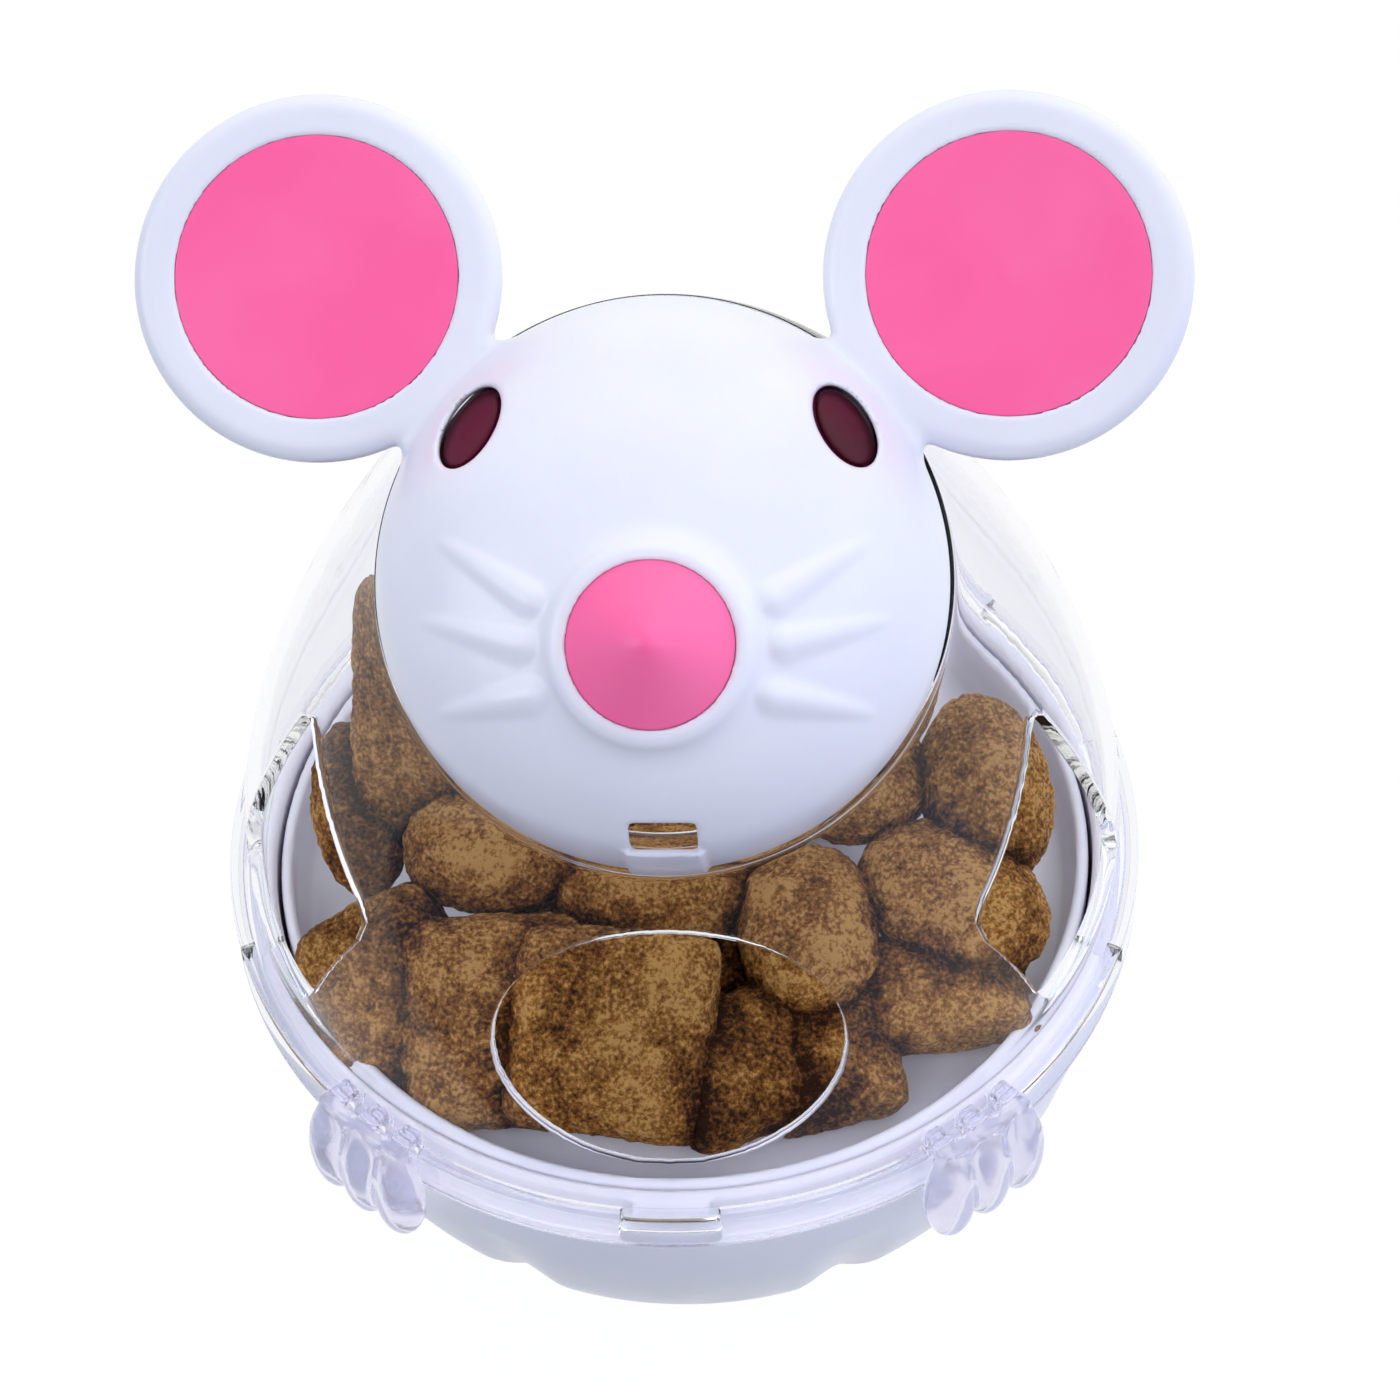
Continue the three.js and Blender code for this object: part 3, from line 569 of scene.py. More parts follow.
def bowl_field(p):
    x, y, z = p.T
    around = np.hypot(x, y)
    nearest = np.min([from_angle(x, y, at) for at in FLUTE_ANGLES], 0)
    share = np.arccos(np.clip(1 - z / BOWL_CENTRE, -1, 1)) / (math.pi / 2)
    fade = np.sin(math.pi * np.clip(share * FLUTE_END, 0, 1)).clip(0) ** FLUTE_EASE
    flute = np.cos(np.pi / 2 * np.clip(nearest / FLUTE_HALF_WIDTH, 0, 1)) ** 2
    drop = np.minimum(z - BOWL_CENTRE, 0)
    outer = np.hypot(around, drop) - BOWL_RADIUS + FLUTE_DEPTH * fade * flute
    outer = smooth_max(outer, -z, 1.0)
    outer = smooth_max(outer, z - (LEDGE - SKIRT_HEIGHT - GAP), 0.3)
    rim = smooth_max(around - RIM_RADIUS, z - RIM_TOP, 0.4)
    rim = np.maximum(rim, LEDGE - SKIRT_HEIGHT - 3 - z)
    cavity = smooth_max(np.hypot(around, drop) - BOWL_INNER, BOWL_FLOOR - z, 1.5)
    solid = smooth_max(np.minimum(outer, rim), -cavity, 0.4)
    posts = np.min([
        np.maximum(
            np.hypot(x - at[0], y - at[1]) - POST_RADIUS,
            np.abs(z - POST_MIDDLE) - POST_HALF_HEIGHT,
        )
        for at in post_places()
    ], 0)
    posts = np.maximum(posts, np.hypot(around, drop) - BOWL_INNER - 0.8)
    boss = disc(x, y, z, BOSS_RADIUS, BOSS_LOW, BOSS_TOP, 0.4)
    solid = smooth_min(solid, np.minimum(posts, boss), 0.8)
    holes = np.min([
        np.maximum(np.hypot(x - at[0], y - at[1]) - POST_HOLE, POST_HOLE_BOTTOM - z)
        for at in post_places()
    ] + [np.maximum(around - BOSS_HOLE, BOSS_HOLE_BOTTOM - z)], 0)
    solid = smooth_max(solid, -holes, 0.3)
    lugs = np.min([
        (from_angle(x, y, middle) - half) * math.radians(LUG_OUT) for middle, half in LUGS
    ], 0)
    lugs = smooth_max(lugs, around - LUG_OUT, 0.5)
    lugs = smooth_max(lugs, np.abs(z - (LUG_LOW + LUG_HIGH) / 2) - (LUG_HIGH - LUG_LOW) / 2, 0.5)
    lugs = np.maximum(lugs, RIM_RADIUS - 0.5 - around)
    return smooth_min(solid, lugs, 0.3)


def tray_field(p):
    x, y, z = p.T
    around = np.hypot(x, y)
    climb = np.clip((z - TRAY_BOTTOM) / TRAY_FOOT_RISE, 0, 1)
    radius = TRAY_FOOT + (TRAY_RADIUS - TRAY_FOOT) * climb
    solid = smooth_max(around - radius, np.maximum(TRAY_BOTTOM - z, z - TRAY_TOP), 0.8)
    cavity = smooth_max(around - radius + TRAY_WALL, TRAY_BOTTOM + WALL - z, 2.5)
    holes = np.min([np.hypot(x - at[0], y - at[1]) - POST_HOLE for at in post_places()], 0)
    return smooth_max(smooth_max(solid, -cavity, 0.5), -holes, 0.3)


bowl_reach = FLANGE_RADIUS
bowl = field_piece(
    "tumbler_bowl",
    bowl_field,
    (-bowl_reach, -bowl_reach, -EDGE),
    (bowl_reach, bowl_reach, RIM_TOP + EDGE),
    BOWL_STEP,
)
finish_piece(bowl, white_look, "base", "white_plastic", "base_bowl")
tray_reach = RIM_RADIUS
tray = field_piece(
    "inner_tray",
    tray_field,
    (-tray_reach, -tray_reach, TRAY_BOTTOM - EDGE),
    (tray_reach, tray_reach, TRAY_TOP + EDGE),
    TRAY_STEP,
)
finish_piece(tray, white_look, "base", "white_plastic", "treat_tray")

for name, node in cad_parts.items():
    if name.startswith(("ballast", "tray_screw")):
        node.data.materials.clear()
        node.data.materials.append(steel_look.material)
        edge = node.modifiers.new("edge", "BEVEL")
        edge.width = 0.15 * MM
        edge.segments = 2

# ---- Clear cover ----


def bezier(points, share):
    a, b, c, d = points
    t = np.asarray(share)[:, None, None]
    return (1 - t) ** 3 * a + 3 * (1 - t) ** 2 * t * b + 3 * (1 - t) * t * t * c + t**3 * d


def dome_rows(angle, share):
    """Outside of the dome, from the ledge to the neck: one row of points for each share."""
    out = heading(angle)
    foot = out * DOME_RADIUS + [0, 0, LEDGE]
    head = neck_ring(angle, NECK_RADIUS, 0)
    length = np.linalg.norm(head - foot, axis=-1, keepdims=True)
    straight = (head - foot) / length
    bulge = 1 - ((1 + np.cos(angle)[:, None]) / 2) ** 3
    start = math.cos(DOME_LEAN) * np.array([0, 0, 1]) + math.sin(DOME_LEAN) * out
    outward = neck_ring(angle, 1, 0) - NECK_CENTRE
    end = math.cos(NECK_LEAN) * outward - math.sin(NECK_LEAN) * FACE_OUT
    plain = (1 - bulge) * length / 3 * straight
    first = foot + bulge * DOME_PULL * length * start + plain
    second = head + bulge * NECK_PULL * length * end - plain
    return bezier((foot, first, second, head), share)


def rows_between(start, end, count):
    """Rows of points from one row towards another, without the last."""
    return start + (np.arange(count) / count)[:, None, None] * (end - start)


def corner_rows(before, corner, after, count):
    """Rows of points that round a corner, without the last."""
    t = (np.arange(count) / count)[:, None, None]
    return (1 - t) ** 2 * before + 2 * t * (1 - t) * corner + t * t * after


def cover_sheet(angle):
    """Outside of the whole cover, from the skirt's lower edge to the spigot's top."""
    flat = lambda radius, height: heading(angle) * radius + [0, 0, height]
    neck = lambda radius, height: neck_ring(angle, radius, height)
    edge = 0.7
    low = LEDGE - SKIRT_HEIGHT
    foot_share = 0.025
    dome = dome_rows(angle, np.linspace(foot_share, 0.985, 104))
    soft = 0.5
    parts = [
        rows_between(flat(FLANGE_RADIUS, low), flat(FLANGE_RADIUS, LEDGE - edge), 11),
        corner_rows(
            flat(FLANGE_RADIUS, LEDGE - edge), flat(FLANGE_RADIUS, LEDGE),
            flat(FLANGE_RADIUS - edge, LEDGE), 4,
        ),
        rows_between(flat(FLANGE_RADIUS - edge, LEDGE), flat(DOME_RADIUS + 0.8, LEDGE), 2),
        corner_rows(flat(DOME_RADIUS + 0.8, LEDGE), flat(DOME_RADIUS, LEDGE), dome[0], 4),
        dome[:-1],
        corner_rows(dome[-1], neck(NECK_RADIUS, 0), neck(NECK_RADIUS, soft), 4),
        rows_between(neck(NECK_RADIUS, soft), neck(NECK_RADIUS, COLLAR_HEIGHT - soft), 2),
        corner_rows(
            neck(NECK_RADIUS, COLLAR_HEIGHT - soft), neck(NECK_RADIUS, COLLAR_HEIGHT),
            neck(NECK_RADIUS - soft, COLLAR_HEIGHT), 4,
        ),
        rows_between(neck(NECK_RADIUS - soft, COLLAR_HEIGHT), neck(SPIGOT_RADIUS + 0.3, COLLAR_HEIGHT), 3),
        corner_rows(
            neck(SPIGOT_RADIUS + 0.3, COLLAR_HEIGHT), neck(SPIGOT_RADIUS, COLLAR_HEIGHT),
            neck(SPIGOT_RADIUS, COLLAR_HEIGHT + 0.3), 2,
        ),
        rows_between(
            neck(SPIGOT_RADIUS, COLLAR_HEIGHT + 0.3),
            neck(SPIGOT_RADIUS, COLLAR_HEIGHT + SPIGOT_HEIGHT), 6,
        ),
        neck(SPIGOT_RADIUS, COLLAR_HEIGHT + SPIGOT_HEIGHT)[None],
    ]
    return np.concatenate(parts)


def oval_opening(x, y, z):
    foot = np.array([0, -DOME_RADIUS, LEDGE])
    slope = neck_ring(0.0, NECK_RADIUS, 0) - foot
    middle = foot + slope * (OVAL_RISE / slope[2])
    slope = slope / np.linalg.norm(slope)
    up = (y - middle[1]) * slope[1] + (z - middle[2]) * slope[2]
    depth = (y - middle[1]) * slope[2] - (z - middle[2]) * slope[1]
    return np.maximum(ellipse(x, up, OVAL_HALF_WIDTH, OVAL_HALF_HEIGHT), np.abs(depth) - OVAL_REACH)


def flank_openings(x, y, z):
    low = LEDGE + WINDOW_LOW
    run = WINDOW_BACK - WINDOW_FRONT
    climb = (WINDOW_BACK_TOP - WINDOW_FRONT_TOP) / run
    lid = LEDGE + WINDOW_FRONT_TOP + (y - WINDOW_FRONT) * climb
    over = (z - lid) / math.hypot(1, climb)
    window = smooth_max(smooth_max(y - WINDOW_BACK, WINDOW_FRONT - y, 1), low - z, WINDOW_ROUND)
    window = smooth_max(window, over, WINDOW_ROUND)
    return np.maximum(window, WINDOW_FROM - np.abs(x))


def skirt_openings(x, y, z):
    middle = (SKIRT_WINDOW_LOW + SKIRT_WINDOW_HIGH) / 2
    half = (SKIRT_WINDOW_HIGH - SKIRT_WINDOW_LOW) / 2
    spans = [
        (from_angle(x, y, at) - width - SKIRT_WINDOW_SPARE) * math.radians(FLANGE_RADIUS)
        for at, width in LUGS
    ]
    window = smooth_max(np.min(spans, 0), np.abs(z - middle) - half, 0.6)
    return np.maximum(window, FLANGE_RADIUS - 0.8 - np.hypot(x, y))


def peg_slots(x, y, z):
    slots = []
    for side in (-1, 1):
        for angle in TOE_ANGLES:
            at = turned_about_z(np.stack([x, y, z], -1), math.radians(side * angle)).T
            middle = (PEG_INNER + PEG_OUTER) / 2
            half = (PEG_WIDTH / 2 + GAP, (PEG_OUTER - PEG_INNER) / 2 + GAP, 1.0)
            slots.append(brick(at[0], at[1] + middle, at[2] - LEDGE, half, 0.3))
    return np.min(slots, 0)


def cover_openings(points):
    """Distance to the nearest opening's edge, negative inside an opening."""
    x, y, z = points.T
    return np.min([f(x, y, z) for f in (oval_opening, flank_openings, skirt_openings, peg_slots)], 0)


def clipped(points, quads, value, snap):
    """The part of a sheet where value is positive, with new points on its edge."""
    value = np.where(np.abs(value) < snap, 0, value)
    points = points.tolist()
    value = value.tolist()
    crossing = {}
    faces = []
    for quad in quads.tolist():
        signs = [value[i] for i in quad]
        if min(signs) >= 0 and max(signs) > 0:
            faces.append(quad)
            continue
        if max(signs) <= 0:
            continue
        ring = []
        for i, j in zip(quad, quad[1:] + quad[:1]):
            if value[i] >= 0:
                ring.append(i)
            if value[i] * value[j] < 0:
                key = (min(i, j), max(i, j))
                if key not in crossing:
                    a, b = key
                    t = value[a] / (value[a] - value[b])
                    crossing[key] = len(points)
                    points.append([p + t * (q - p) for p, q in zip(points[a], points[b])])
                ring.append(crossing[key])
        if len(ring) > 2:
            faces.append(ring)
    used = sorted({i for face in faces for i in face})
    number = {old: new for new, old in enumerate(used)}
    return np.array(points)[used], [[number[i] for i in face] for face in faces]


COVER_AROUND = 400
SNAP = 0.07  # a point this near an opening's edge counts as on it


def make_cover():
    angle = np.arange(COVER_AROUND) * 2 * math.pi / COVER_AROUND
    rows = cover_sheet(angle)
    count = rows.shape[0]
    index = np.arange(count * COVER_AROUND).reshape(count, COVER_AROUND)
    after = np.roll(index, -1, 1)
    quads = np.stack([index[:-1], after[:-1], after[1:], index[1:]], -1).reshape(-1, 4)
    points = rows.reshape(-1, 3)
    points, faces = clipped(points, quads, cover_openings(points), SNAP)
    made = piece("clear_shell", points, faces)
    wall = made.modifiers.new("wall", "SOLIDIFY")
    wall.thickness = WALL * MM
    wall.offset = -1
    wall.use_even_offset = True
    edge = made.modifiers.new("edge", "BEVEL")
    edge.width = 0.22 * MM
    edge.segments = 2
    edge.limit_method = "ANGLE"
    edge.angle_limit = math.radians(55)
    made.visible_shadow = False
    return finish_piece(made, clear_look, "cover", "clear_plastic", "clear_cover")


make_cover()


def paw_field(p):
    """Right paw: three toes outside the skirt, tabs on the ledge, and pegs down through it."""
    x, y, z = p.T
    around = np.hypot(x, y)
    toes, tabs, pegs = [], [], []
    for angle in TOE_ANGLES:
        tx, ty, tz = turned_about_z(p, math.radians(angle)).T
        half = (TOE_ACROSS, TOE_RADIAL, TOE_TALL)
        toes.append(ellipsoid(tx, ty + TOE_RING, tz - TOE_MIDDLE, half))
        deep = (TOE_RING + TAB_OVERLAP - PEG_INNER) / 2
        tall = (TAB_TOP - GAP) / 2
        half = (PEG_WIDTH / 2, deep, tall)
        tabs.append(brick(tx, ty + PEG_INNER + deep, tz - LEDGE - GAP - tall, half, 0.25))
        half = (PEG_WIDTH / 2, (PEG_OUTER - PEG_INNER) / 2, PEG_HALF_HEIGHT)
        pegs.append(brick(tx, ty + (PEG_INNER + PEG_OUTER) / 2, tz - LEDGE + PEG_DROP, half, 0.15))
    toe = smooth_min(smooth_min(toes[0], toes[1], TOE_BLEND), toes[2], TOE_BLEND)
    knuckle = (from_angle(x, y, TOE_ANGLES[1]) - KNUCKLE_HALF) * math.radians(TOE_RING)
    knuckle = smooth_max(knuckle, around - TOE_RING - KNUCKLE_PROUD, 0.8)
    knuckle = np.maximum(knuckle, FLANGE_RADIUS + GAP - around)
    knuckle = smooth_max(knuckle, np.abs(z - KNUCKLE_MIDDLE) - KNUCKLE_HALF_HEIGHT, 0.8)
    body = smooth_min(smooth_min(toe, knuckle, 0.6), np.min(tabs, 0), 0.4)
    skirt = np.maximum(around - FLANGE_RADIUS - GAP, z - LEDGE - GAP)
    body = smooth_max(body, -skirt, 0.2)
    return np.minimum(body, np.min(pegs, 0))


def make_paw(side, name):
    middle = heading(math.radians(TOE_ANGLES[1])) * TOE_RING
    reach = 9
    low = middle + [-reach, -reach, TOE_MIDDLE - TOE_TALL - 1]
    high = middle + [reach, reach, LEDGE + TAB_TOP + 1]
    mirror = lambda points: points * [side, 1, 1]
    made = field_piece(name, paw_field, low, high, PAW_STEP, mirror)
    if side < 0:
        made.data.flip_normals()
    made.visible_shadow = False
    return finish_piece(made, paw_look, "cover", "clear_plastic", "front_" + name)


make_paw(-1, "paw_left")
make_paw(1, "paw_right")

# ---- Head ----


def cap_field(x, y, z):
    """Distance to the cap's outside, near enough close to it."""
    share = np.maximum((z - CAP_BASE) / CAP_RISE, 0)
    across = y + CAP_DROP * share**2
    value = (x * x + across**2) / CAP_RADIUS**2 + share**2 - 1
    slope_x = 2 * x / CAP_RADIUS**2
    slope_y = 2 * across / CAP_RADIUS**2
    slope_z = (4 * across * CAP_DROP * share / CAP_RADIUS**2 + 2 * share) / CAP_RISE
    return value / np.sqrt(slope_x**2 + slope_y**2 + slope_z**2 + 1e-6)


def eye_ellipse(x, y, side):
    c, s = math.cos(EYE_TURN), -side * math.sin(EYE_TURN)
    dx, dy = x - side * EYE_X, y - EYE_Y
    return ellipse(c * dx - s * dy, s * dx + c * dy, EYE_SHORT, EYE_LONG)


def whisker_rise(x, y, outer, inner):
    """Height of one whisker ridge: a leaf that is thick near the nose and fades outwards."""
    outer, inner = np.array(outer), np.array(inner)
    line = inner - outer
    share = np.clip(((x - outer[0]) * line[0] + (y - outer[1]) * line[1]) / (line @ line), 0, 1)
    away = np.hypot(x - outer[0] - share * line[0], y - outer[1] - share * line[1])
    width = 0.6 + 1.3 * share**0.7
    height = 0.12 + 0.62 * share**0.8
    return height * np.clip(1 - (away / width) ** 2, 0, 1) ** 1.4


def ear_field(x, y, z, side):
    plate = disc(x - side * EAR_X, y - EAR_Y, z, EAR_RADIUS, EAR_LOW, EAR_HIGH, EAR_ROUND)
    reach = math.hypot(EAR_X, EAR_Y)
    ex, ey = side * EAR_X / reach, EAR_Y / reach
    along = x * ex + y * ey
    across = np.abs(x * ey - y * ex)
    waist = reach - EAR_RADIUS + EAR_WAIST
    half = EAR_NECK_HALF + EAR_NECK_FLARE * (along - waist) ** 2
    far = reach - EAR_NECK_FAR
    middle = (CAP_RADIUS - EAR_NECK_ROOT + far) / 2
    neck = smooth_max(across - half, np.abs(along - middle) - (far - middle), 0.6)
    neck = smooth_max(neck / 1.3, np.abs(z - (EAR_LOW + EAR_HIGH) / 2) - EAR_THICKNESS / 2 + 0.2, 1.0)
    return smooth_min(plate, neck, 0.6)


def head_field(p):
    x, y, z = p.T
    cap = cap_field(x, y, z)
    rise = sum(whisker_rise(np.abs(x), y, *ends) for ends in WHISKERS)
    outside = cap - np.where(z > CAP_BASE, rise, 0)
    tab_side = np.clip((CHIN_WIDTH / 2 + 0.6 - np.abs(x - CHIN_X)) / 0.3, 0, 1)
    tab_top = np.clip((CHIN_LOW - 0.1 - y) / 0.3, 0, 1)
    outside = outside - CHIN_TAB * tab_side * tab_top * (z < CHIN_PAD_TOP)
    ears = np.minimum(ear_field(x, y, z, 1), ear_field(x, y, z, -1))
    outside = smooth_min(outside, ears, 1.3)
    seat_y = y + CAP_DROP
    seat = disc(x, seat_y, z, SEAT_RADIUS, CAP_TOP - 5, CAP_TOP + SEAT_PROUD, SEAT_ROUND)
    outside = smooth_min(outside, seat, SEAT_BLEND)
    solid = smooth_max(outside, -(cap + WALL), 0.3)
    solid = smooth_max(solid, CAP_RIM - z, 0.5)
    recess = np.maximum(np.hypot(x, seat_y) - SEAT_RECESS, CAP_TOP + SEAT_PROUD - SEAT_DEPTH - z)
    solid = smooth_max(solid, -recess, 0.2)
    hole = np.maximum(np.hypot(x, seat_y) - SEAT_HOLE, CAP_TOP - 12 - z)
    solid = smooth_max(solid, -hole, 0.3)
    for side in (-1, 1):
        around = np.hypot(x - side * EAR_X, y - EAR_Y)
        recess = np.maximum(around - EAR_RECESS, EAR_HIGH - EAR_RECESS_DEPTH - z)
        solid = smooth_max(solid, -recess, 0.2)
        solid = smooth_max(solid, -(around - EAR_PEG - GAP), 0.3)
        eye = np.maximum(eye_ellipse(x, y, side), EYE_CUT_LOW - z)
        solid = smooth_max(solid, -eye, 0.45)
    slot = brick(
        x - CHIN_X, y - (CHIN_LOW + CHIN_HIGH) / 2, z - CHIN_CUT_MIDDLE,
        (CHIN_WIDTH / 2, (CHIN_HIGH - CHIN_LOW) / 2, CHIN_CUT_HALF), 0.4,
    )
    return smooth_max(solid, -slot, 0.3)


reach_x = EAR_X + EAR_RADIUS + EDGE
head = field_piece(
    "mouse_head",
    head_field,
    (-reach_x, -CAP_RADIUS - CAP_DROP - EDGE, CAP_RIM - EDGE),
    (reach_x, EAR_Y + EAR_RADIUS + EDGE, CAP_TOP + EDGE),
    HEAD_STEP,
    head_point,
)
finish_piece(head, white_look, "head", "white_plastic", "head_shell")


def eye_field(p, side):
    x, y, z = p.T
    cap = cap_field(x, y, z)
    outline = eye_ellipse(x, y, side)
    low = COLLAR_HEIGHT + SPIGOT_HEIGHT + GAP - z
    plug = smooth_max(cap + EYE_RECESS, -(cap + WALL + GAP + 1), 0.3)
    plug = smooth_max(plug, outline + GAP, 0.5)
    pad = smooth_max(cap + WALL + GAP, -(cap + WALL + GAP + EYE_PAD), 0.2)
    pad = smooth_max(pad, outline - EYE_PAD_SPREAD, 0.3)
    return np.maximum(smooth_min(plug, pad, 0.2), low)


def make_eye(side, name):
    reach = 7
    low = (side * EYE_X - reach, EYE_Y - reach, EYE_CUT_LOW - 1)
    high = (side * EYE_X + reach, EYE_Y + reach, CAP_TOP)
    made = field_piece(name, lambda p: eye_field(p, side), low, high, EYE_STEP, head_point)
    return finish_piece(made, eye_look, "head", "eye_plastic", name.replace("gem", "eye"))


make_eye(-1, "gem_left")
make_eye(1, "gem_right")


TURNED_SIDES = 128


def make_nose():
    base = CAP_TOP + SEAT_PROUD - SEAT_DEPTH + GAP
    profile = [
        (0, base - NOSE_STEM_LENGTH),
        (NOSE_STEM - 0.5, base - NOSE_STEM_LENGTH),
        (NOSE_STEM, base - NOSE_STEM_LENGTH + 0.8),
        (NOSE_STEM, base),
        (SEAT_RECESS - SNUG, base),
        (SEAT_RECESS - SNUG, base + NOSE_RIM),
    ]
    stem_and_rim = len(profile)
    drop = lambda radius: math.hypot(radius, NOSE_TIP) - NOSE_TIP
    steps = 30
    for i in range(1, steps):
        share = i / steps
        radius = (SEAT_RECESS - SNUG) * (1 - share)
        rise = (NOSE_HEIGHT - NOSE_RIM) * (1 - drop(radius) / drop(NOSE_RADIUS))
        profile.append((radius, base + NOSE_RIM + rise))
    profile.append((0, base + NOSE_HEIGHT))
    shape = rounded(profile[:stem_and_rim], 0.35) + profile[stem_and_rim:]
    place = lambda points: head_point(points - [0, CAP_DROP, 0])
    made = turned("nose_tip", shape, TURNED_SIDES, place)
    return finish_piece(made, pink_look, "head", "pink_plastic", "nose_cone")


make_nose()


def make_ear_disc(side, name):
    low = EAR_HIGH - EAR_RECESS_DEPTH + GAP
    high = EAR_HIGH - 0.1
    radius = EAR_RECESS - SNUG
    land = 1.2  # flat band round the dished middle
    profile = rounded([
        (0, EAR_LOW + 0.2),
        (EAR_PEG, EAR_LOW + 0.2),
        (EAR_PEG, low),
        (radius, low),
        (radius, high),
        (radius - land, high),
    ], 0.15)
    dish = 0.15
    rings = 26
    for i in range(1, rings):
        share = 1 - i / rings
        profile.append(((radius - land) * share, high - dish * (1 - share**2)))
    gate = 0.03  # height of the moulding mark in the middle
    profile[-1] = (0.7, high - dish + gate)
    profile.append((0, high - dish + gate * 1.2))
    place = lambda points: head_point(points + [side * EAR_X, EAR_Y, 0])
    made = turned(name, profile, TURNED_SIDES, place)
    return finish_piece(made, pink_look, "head", "pink_plastic", "ear_disc_" + name.split("_")[1])


make_ear_disc(-1, "pinna_left")
make_ear_disc(1, "pinna_right")

# ---- Treats: the toy's contents, which lie on the tray ----

# Kind, place of the middle, half sizes, and turns about X, Y and Z
TREATS = (
    ("square", (-5.9, -24.5, 48.0), (9.6, 9.8, 4.6), (38, 0, -8)),
    ("square", (6.3, -25.0, 43.5), (8.0, 7.0, 4.4), (25, 10, 30)),
    ("square", (14.2, -23.5, 42.5), (6.5, 6.5, 4.2), (20, -10, 10)),
    ("round", (12.3, -13.5, 48.5), (6.6, 8.6, 5.8), (20, 0, 5)),
    ("round", (26.0, -9.5, 48.5), (9.6, 6.8, 5.4), (10, 15, -28)),
    ("round", (29.0, 1.5, 51.5), (6.4, 9.4, 5.6), (30, 20, 25)),
    ("square", (24.5, -17.0, 44.0), (8.6, 5.6, 4.8), (10, 0, 8)),
    ("square", (-26.5, -18.5, 45.5), (7.6, 9.4, 4.4), (35, -25, 15)),
    ("square", (-17.0, -21.5, 45.5), (8.8, 10.0, 4.6), (40, 5, 5)),
    ("round", (-17.5, -5.5, 52.0), (8.6, 6.6, 5.2), (10, 0, 5)),
    ("round", (-31.0, 0.5, 50.0), (4.6, 8.6, 4.6), (35, 0, 10)),
    ("square", (-24.5, 5.0, 60.0), (6.4, 13.0, 4.4), (60, 0, -5)),
    ("round", (-2.5, -9.0, 50.0), (9.2, 6.0, 5.0), (10, 0, 0)),
    ("square", (-8.0, -8.5, 42.5), (8.5, 8.5, 4.4), (0, 0, 20)),
    ("round", (16.5, 2.5, 52.5), (7.2, 7.0, 5.2), (0, 10, 40)),
    ("square", (2.0, 6.0, 43.0), (8.5, 8.0, 4.4), (0, 0, 10)),
    ("square", (-16.0, 16.0, 44.0), (8.5, 8.0, 4.4), (10, 0, 50)),
    ("round", (15.0, 17.0, 44.5), (8.5, 7.5, 5.0), (0, 0, 70)),
    ("square", (6.5, -13.0, 42.0), (8.0, 6.5, 4.0), (0, 0, -15)),
)
TREAT_DETAIL = 44
TREAT_RELIEF = 0.42


def lumps(points, size, seed):
    """Smooth random numbers from -1 to 1 with lumps about size across."""
    count = 32
    table = np.random.default_rng(seed).uniform(-1, 1, (count, count, count))
    place = points / size + 100
    cell = np.floor(place).astype(int)
    part = place - cell
    part = part * part * (3 - 2 * part)
    total = 0
    for corner in lattice((2, 2, 2)):
        weight = np.prod(np.where(corner, part, 1 - part), -1)
        total = total + weight * table[tuple(((cell + corner) % count).T)]
    return total


def cube_sphere(count):
    """Unit directions over a sphere, as a grid on each side of a cube, and its quads."""
    grid = np.tan(np.linspace(-math.pi / 4, math.pi / 4, count + 1))
    u, v = (a.ravel() for a in np.meshgrid(grid, grid, indexing="ij"))
    index = np.arange((count + 1) ** 2).reshape(count + 1, count + 1)
    quad = np.stack([index[:-1, :-1], index[1:, :-1], index[1:, 1:], index[:-1, 1:]], -1).reshape(-1, 4)
    points, quads = [], []
    for axis in range(3):
        for sign in (-1, 1):
            side = np.zeros((len(u), 3))
            side[:, axis] = sign
            side[:, (axis + 1) % 3] = u
            side[:, (axis + 2) % 3] = v
            quads.append((quad if sign > 0 else quad[:, ::-1]) + len(points) * len(u))
            points.append(side)
    points = np.concatenate(points)
    quads = np.concatenate(quads)
    _, first, number = np.unique(points.round(6), axis=0, return_index=True, return_inverse=True)
    points = points[first]
    return points / np.linalg.norm(points, axis=-1, keepdims=True), number.ravel()[quads]


def treat_shape(points, kind, half):
    """1 on a treat's smooth surface, less inside it and more outside."""
    outline, swell = (7.0, 2.6) if kind == "square" else (2.3, 2.0)
    x, y, z = np.abs(points / np.array(half)).T
    return ((x**outline + y**outline) ** (swell / outline) + z**swell) ** (1 / swell)


def treat_spin(turns):
    spin = Matrix.Rotation(math.radians(turns[2]), 3, "Z")
    spin = spin @ Matrix.Rotation(math.radians(turns[1]), 3, "Y")
    return np.array(spin @ Matrix.Rotation(math.radians(turns[0]), 3, "X"))


CREVICE_SHADE_REACH = 2.4  # painted shade darkens the crumb where another treat is nearer than this


def crevice_shade_share(points, number):
    """How close points of a treat are to any other treat, which sets the painted shade in crevices: 1
    touching, 0 farther than a crevice.
    """
    closest = np.zeros(len(points))
    for other, (kind, middle, half, turns) in enumerate(TREATS, 1):
        if other != number:
            local = (points - np.array(middle)) @ treat_spin(turns)
            away = (treat_shape(local, kind, half) - 1) * min(half)
            closest = np.maximum(closest, np.clip(1 - away / CREVICE_SHADE_REACH, 0, 1))
    return closest


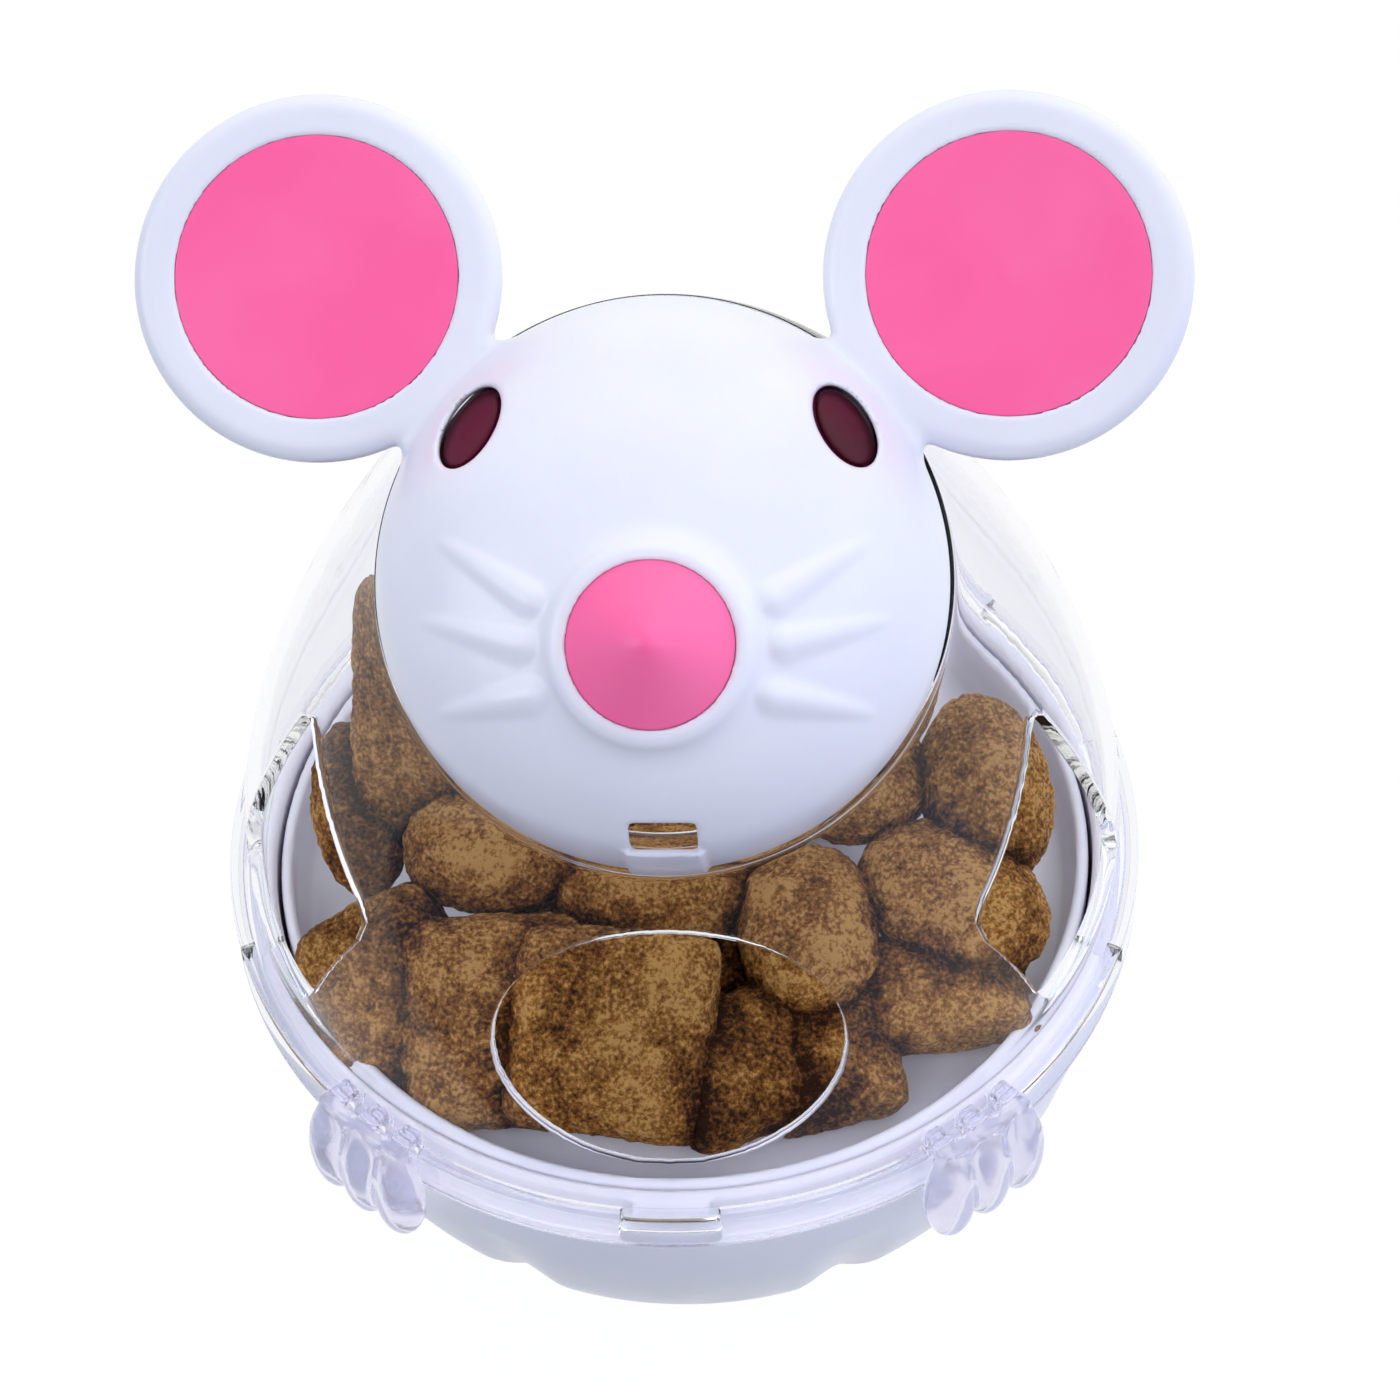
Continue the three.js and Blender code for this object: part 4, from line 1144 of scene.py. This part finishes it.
def make_treat(number, kind, middle, half, turns, sphere):
    directions, quads = sphere
    points = directions / treat_shape(directions, kind, half)[:, None]
    relief = (
        0.6 * lumps(points, 4.5, number)
        + 0.4 * lumps(points, 1.8, number + 50)
        + 0.3 * (1 - 2 * np.abs(lumps(points, 1.2, number + 100)))
        + 0.45 * lumps(points, 0.7, number + 150)
    )
    points = points + directions * (relief * TREAT_RELIEF)[:, None]
    points = points @ treat_spin(turns).T + np.array(middle)
    made = piece(f"treat_{number:02d}", points, quads.tolist())
    painted_shade_and_tint = made.data.attributes.new("painted_shade_and_tint", "FLOAT", "POINT")
    tint = np.random.default_rng(number).uniform(-0.2, 0.25)
    # Painted shade: darker in the pits of the relief and where another treat is near, lighter on the
    # lumps. The tint is a random tone for each treat.
    tone_and_painted_shade = 0.5 * relief + tint - crevice_shade_share(points, number) ** 2
    painted_shade_and_tint.data.foreach_set("value", tone_and_painted_shade.astype(np.float32))
    return finish_piece(made, crumb_look, "base", None)


sphere = cube_sphere(TREAT_DETAIL)
for number, (kind, middle, half, turns) in enumerate(TREATS, 1):
    make_treat(number, kind, middle, half, turns, sphere)

# ---- Floor and light, in metres ----


def make_floor():
    half = 3.0
    corners = [(-half, -half, 0), (half, -half, 0), (half, half, 0), (-half, half, 0)]
    made = piece("floor", np.array(corners) / MM, [(0, 1, 2, 3)])
    look = Look("studio_floor", Base_Color=(0.04, 0.04, 0.04, 1), Roughness=0.6)
    look.shader.inputs["Emission Color"].default_value = (1, 1, 1, 1)
    look.shader.inputs["Specular IOR Level"].default_value = 0.0
    look.shader.inputs["Emission Strength"].default_value = 0.97
    made.data.materials.append(look.material)
    made.visible_diffuse = False


LAMP_TARGET = Vector((0, 0, 0.06))


# Softboxes: name, size, power, place, and whether they show in reflections
LAMPS = (
    ("softbox_high", 0.5, 1.15, (0.15, 0.2, 0.75), False),
    ("softbox_right", 0.35, 0.15, (0.6, -0.2, 0.42), True),
    ("softbox_left", 0.5, 1.0, (-0.6, -0.2, 0.4), True),
    ("fill_right", 0.4, 1.05, (0.25, -0.5, 0.65), False),
    ("fill_left", 0.4, 1.15, (-0.3, -0.5, 0.65), False),
)


def make_lamp(name, size, power, place, reflects):
    data = bpy.data.lights.new(name, "AREA")
    data.shape = "DISK"
    data.size = size
    data.energy = power
    lamp = bpy.data.objects.new(name, data)
    lamp.location = place
    lamp.rotation_mode = "QUATERNION"
    lamp.rotation_quaternion = (LAMP_TARGET - Vector(place)).to_track_quat("-Z", "Y")
    lamp.visible_glossy = reflects
    bpy.context.scene.collection.objects.link(lamp)


# Soft surroundings: the way each broad light faces, and its colour at its middle
SURROUNDINGS = (
    ((1, 0, 0), (0.9, 1.03, 1.3)),
    ((-1, 0, 0), (0.2, 0.3, 0.48)),
    ((0, 1, 0), (1.02, 1.02, 0.85)),
    ((0, -1, 0), (0.04, 0.04, 0.05)),
    ((0, 0, 1), (0.25, 0.25, 0.22)),
)


def make_world():
    """Broad lights all round, each fading out towards its sides."""
    world = bpy.data.worlds.new("studio")
    world.use_nodes = True
    tree = world.node_tree
    tree.nodes.clear()
    place = tree.nodes.new("ShaderNodeTexCoord")
    total = None
    for facing, color in SURROUNDINGS:
        toward = tree.nodes.new("ShaderNodeVectorMath")
        toward.operation = "DOT_PRODUCT"
        toward.inputs[1].default_value = facing
        share = tree.nodes.new("ShaderNodeMath")
        share.operation = "MAXIMUM"
        share.inputs[1].default_value = 0
        glow = tree.nodes.new("ShaderNodeBackground")
        glow.inputs["Color"].default_value = (*color, 1)
        tree.links.new(place.outputs["Generated"], toward.inputs[0])
        tree.links.new(toward.outputs["Value"], share.inputs[0])
        tree.links.new(share.outputs[0], glow.inputs["Strength"])
        if total is None:
            total = glow
            continue
        both = tree.nodes.new("ShaderNodeAddShader")
        tree.links.new(total.outputs[0], both.inputs[0])
        tree.links.new(glow.outputs[0], both.inputs[1])
        total = both
    output = tree.nodes.new("ShaderNodeOutputWorld")
    tree.links.new(total.outputs[0], output.inputs["Surface"])
    bpy.context.scene.world = world


def make_studio():
    make_floor()
    make_world()
    for lamp in LAMPS:
        make_lamp(*lamp)
    scene = bpy.context.scene
    scene.view_settings.view_transform = "Standard"
    scene.cycles.max_bounces = 24
    scene.cycles.transmission_bounces = 24
    scene.cycles.glossy_bounces = 12


make_studio()
